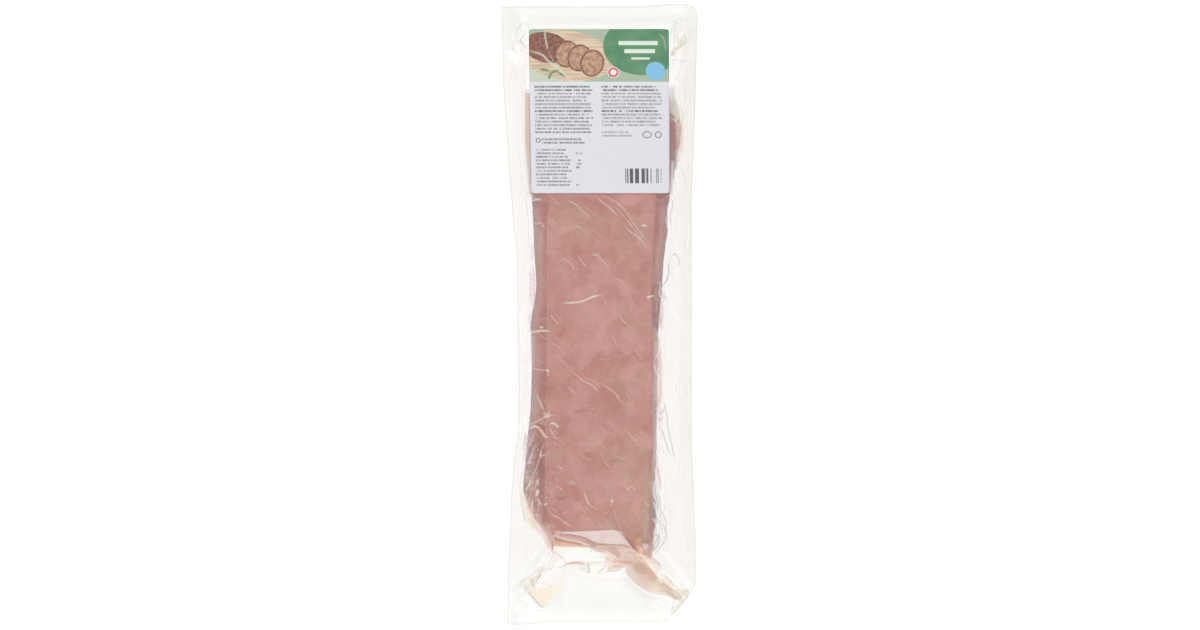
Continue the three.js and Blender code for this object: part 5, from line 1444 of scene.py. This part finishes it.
def make_stage():
    """Floor, four soft lamps round the pack, an even dome and the camera looking straight down."""
    light = bpy.context.scene.pork_stage
    turns = ((-1, -1), (1, -1), (1, 1), (-1, 1))
    corners = [(side * FLOOR_REACH, end * FLOOR_REACH, FLOOR_LEVEL) for side, end in turns]
    mesh = bpy.data.meshes.new("floor")
    mesh.from_pydata(corners, [], [(0, 1, 2, 3)])
    floor = bpy.data.objects.new("floor", mesh)
    bpy.context.collection.objects.link(floor)
    mesh.materials.append(floor_material())
    for name, side, along_pack, share in LAMPS:
        lamp = bpy.data.lights.new(name, "AREA")
        lamp.shape = "RECTANGLE"
        lamp.size, lamp.size_y = light.lamp_size, light.lamp_size
        lamp.energy = light.lamp_power * share
        holder = bpy.data.objects.new(name, lamp)
        out = light.lamp_distance
        holder.location = (side * out, along_pack * out, light.lamp_height)
        holder.rotation_euler = (-holder.location).to_track_quat("-Z", "Y").to_euler()
        bpy.context.collection.objects.link(holder)
    world = bpy.data.worlds.new("studio")
    world.use_nodes = True
    dome = world.node_tree.nodes["Background"]
    dome.inputs["Color"].default_value = (*light.dome, 1)
    dome.inputs["Strength"].default_value = light.dome_strength
    bpy.context.scene.world = world
    view = bpy.data.cameras.new("camera")
    eye = bpy.data.objects.new("camera", view)
    eye.location = (CAMERA_X, CAMERA_Y, light.camera_height)
    view.sensor_width = SENSOR_WIDTH / MM
    view.lens = view.sensor_width * (light.camera_height - AIM_HEIGHT) / light.view_width
    bpy.context.collection.objects.link(eye)
    bpy.context.scene.camera = eye
    bpy.context.scene.view_settings.view_transform = "Standard"


class PackSizes(bpy.types.PropertyGroup):
    """Heights and gaps of the pack"""
    meat_top: bpy.props.FloatProperty(
        name="Meat top", description="Height of the pressed flat top", default=0.045, unit="LENGTH")
    seal_height: bpy.props.FloatProperty(
        name="Seal height", description="Height where the margin leaves the meat", default=0.033,
        unit="LENGTH")
    film_gap: bpy.props.FloatProperty(
        name="Film gap", description="Distance between the margin's two skins", default=0.0003, unit="LENGTH")
    clearance: bpy.props.FloatProperty(
        name="Clearance", description="Distance from the film to the meat", default=0.0005, unit="LENGTH")
    label_gap: bpy.props.FloatProperty(
        name="Label gap", description="Distance from the film to the label", default=0.00035, unit="LENGTH")
    label_thickness: bpy.props.FloatProperty(
        name="Label thickness", description="Thickness of the label sheet", default=0.0002, unit="LENGTH")
    crease_scale: bpy.props.FloatProperty(
        name="Crease scale", description="Factor on the lift of every crease", default=1.0, min=0, max=3)


class PackColours(bpy.types.PropertyGroup):
    """Colours of the meat, the film and the paper"""
    pink: bpy.props.FloatVectorProperty(
        name="Pink", description="Most of the muscle", subtype="COLOR", size=3, default=linear("D29A93"))
    deep: bpy.props.FloatVectorProperty(
        name="Deep", description="Redder muscle", subtype="COLOR", size=3, default=linear("C78B84"))
    tan: bpy.props.FloatVectorProperty(
        name="Tan", description="Greyer, salted surface", subtype="COLOR", size=3, default=linear("CDA496"))
    film: bpy.props.FloatVectorProperty(
        name="Film", description="What one skin of film lets through", subtype="COLOR", size=3,
        default=linear("FCFBFA"))
    film_streak: bpy.props.FloatVectorProperty(
        name="Film streak", description="The same in its faint streaks", subtype="COLOR", size=3,
        default=linear("FDFCFB"))
    label_paper: bpy.props.FloatVectorProperty(
        name="Label paper", description="Unprinted label", subtype="COLOR", size=3, default=linear("E4E3E8"))


class StageLight(bpy.types.PropertyGroup):
    """Floor, light and camera"""
    floor: bpy.props.FloatVectorProperty(
        name="Floor", description="Colour of the floor", subtype="COLOR", size=3, default=linear("616161"))
    glow: bpy.props.FloatProperty(name="Glow", description="Light the floor gives itself", default=0.94)
    lamp_power: bpy.props.FloatProperty(
        name="Lamp power", description="Power of the strongest lamp", default=6.3, unit="POWER")
    lamp_size: bpy.props.FloatProperty(
        name="Lamp size", description="Width and length of each soft lamp", default=0.7, unit="LENGTH")
    lamp_distance: bpy.props.FloatProperty(
        name="Lamp distance", description="How far out each lamp stands", default=0.9, unit="LENGTH")
    lamp_height: bpy.props.FloatProperty(
        name="Lamp height", description="Height of the lamps", default=1.0, unit="LENGTH")
    dome: bpy.props.FloatVectorProperty(
        name="Dome", description="Colour of the even light", subtype="COLOR", size=3,
        default=linear("FAFDFF"))
    dome_strength: bpy.props.FloatProperty(name="Dome strength", description="Strength of it", default=0.36)
    camera_height: bpy.props.FloatProperty(
        name="Camera height", description="Height of the camera", default=2.5, unit="LENGTH")
    view_width: bpy.props.FloatProperty(
        name="View width", description="Width of the picture at the pack", default=0.8568, unit="LENGTH")


class PORK_OT_meat(bpy.types.Operator):
    """Build the loin of meat"""
    bl_idname = "pork.meat"
    bl_label = "Build meat"

    def execute(self, context):
        piece = make_meat()
        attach(piece, "root")
        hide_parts("bag")
        return {"FINISHED"}


class PORK_OT_film(bpy.types.Operator):
    """Build the vacuum film with its creases"""
    bl_idname = "pork.film"
    bl_label = "Build film"

    def execute(self, context):
        for piece in make_film():
            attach(piece, "root")
            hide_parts("bag")
        return {"FINISHED"}


class PORK_OT_label(bpy.types.Operator):
    """Build the label"""
    bl_idname = "pork.label"
    bl_label = "Build label"

    def execute(self, context):
        piece = make_label()
        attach(piece, "root")
        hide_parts("label")
        return {"FINISHED"}


class PORK_OT_stage(bpy.types.Operator):
    """Build the floor, lamps and camera"""
    bl_idname = "pork.stage"
    bl_label = "Build stage"

    def execute(self, context):
        make_stage()
        return {"FINISHED"}


class PORK_PT_panel(bpy.types.Panel):
    """Lists the builders and their settings"""
    bl_idname = "PORK_PT_panel"
    bl_label = "Pork loin pack"
    bl_space_type = "VIEW_3D"
    bl_region_type = "UI"
    bl_category = "Pork loin pack"

    def draw(self, context):
        layout = self.layout
        for operator in OPERATORS:
            layout.operator(operator.bl_idname)
        for group in (context.scene.pork_sizes, context.scene.pork_colours, context.scene.pork_stage):
            box = layout.box()
            for name in type(group).__annotations__:
                box.prop(group, name)


OPERATORS = (PORK_OT_stage, PORK_OT_meat, PORK_OT_film, PORK_OT_label)
CLASSES = (PackSizes, PackColours, StageLight, *OPERATORS, PORK_PT_panel)


def register():
    """Registers the classes and hangs the settings on the scene."""
    for item in CLASSES:
        bpy.utils.register_class(item)
    bpy.types.Scene.pork_sizes = bpy.props.PointerProperty(type=PackSizes)
    bpy.types.Scene.pork_colours = bpy.props.PointerProperty(type=PackColours)
    bpy.types.Scene.pork_stage = bpy.props.PointerProperty(type=StageLight)


def unregister():
    """Takes the settings and the classes away again."""
    del bpy.types.Scene.pork_stage, bpy.types.Scene.pork_colours, bpy.types.Scene.pork_sizes
    for item in reversed(CLASSES):
        bpy.utils.unregister_class(item)


def main():
    register()
    bpy.ops.pork.stage()
    bpy.ops.pork.meat()
    bpy.ops.pork.film()
    bpy.ops.pork.label()


if __name__ == "__main__":
    main()
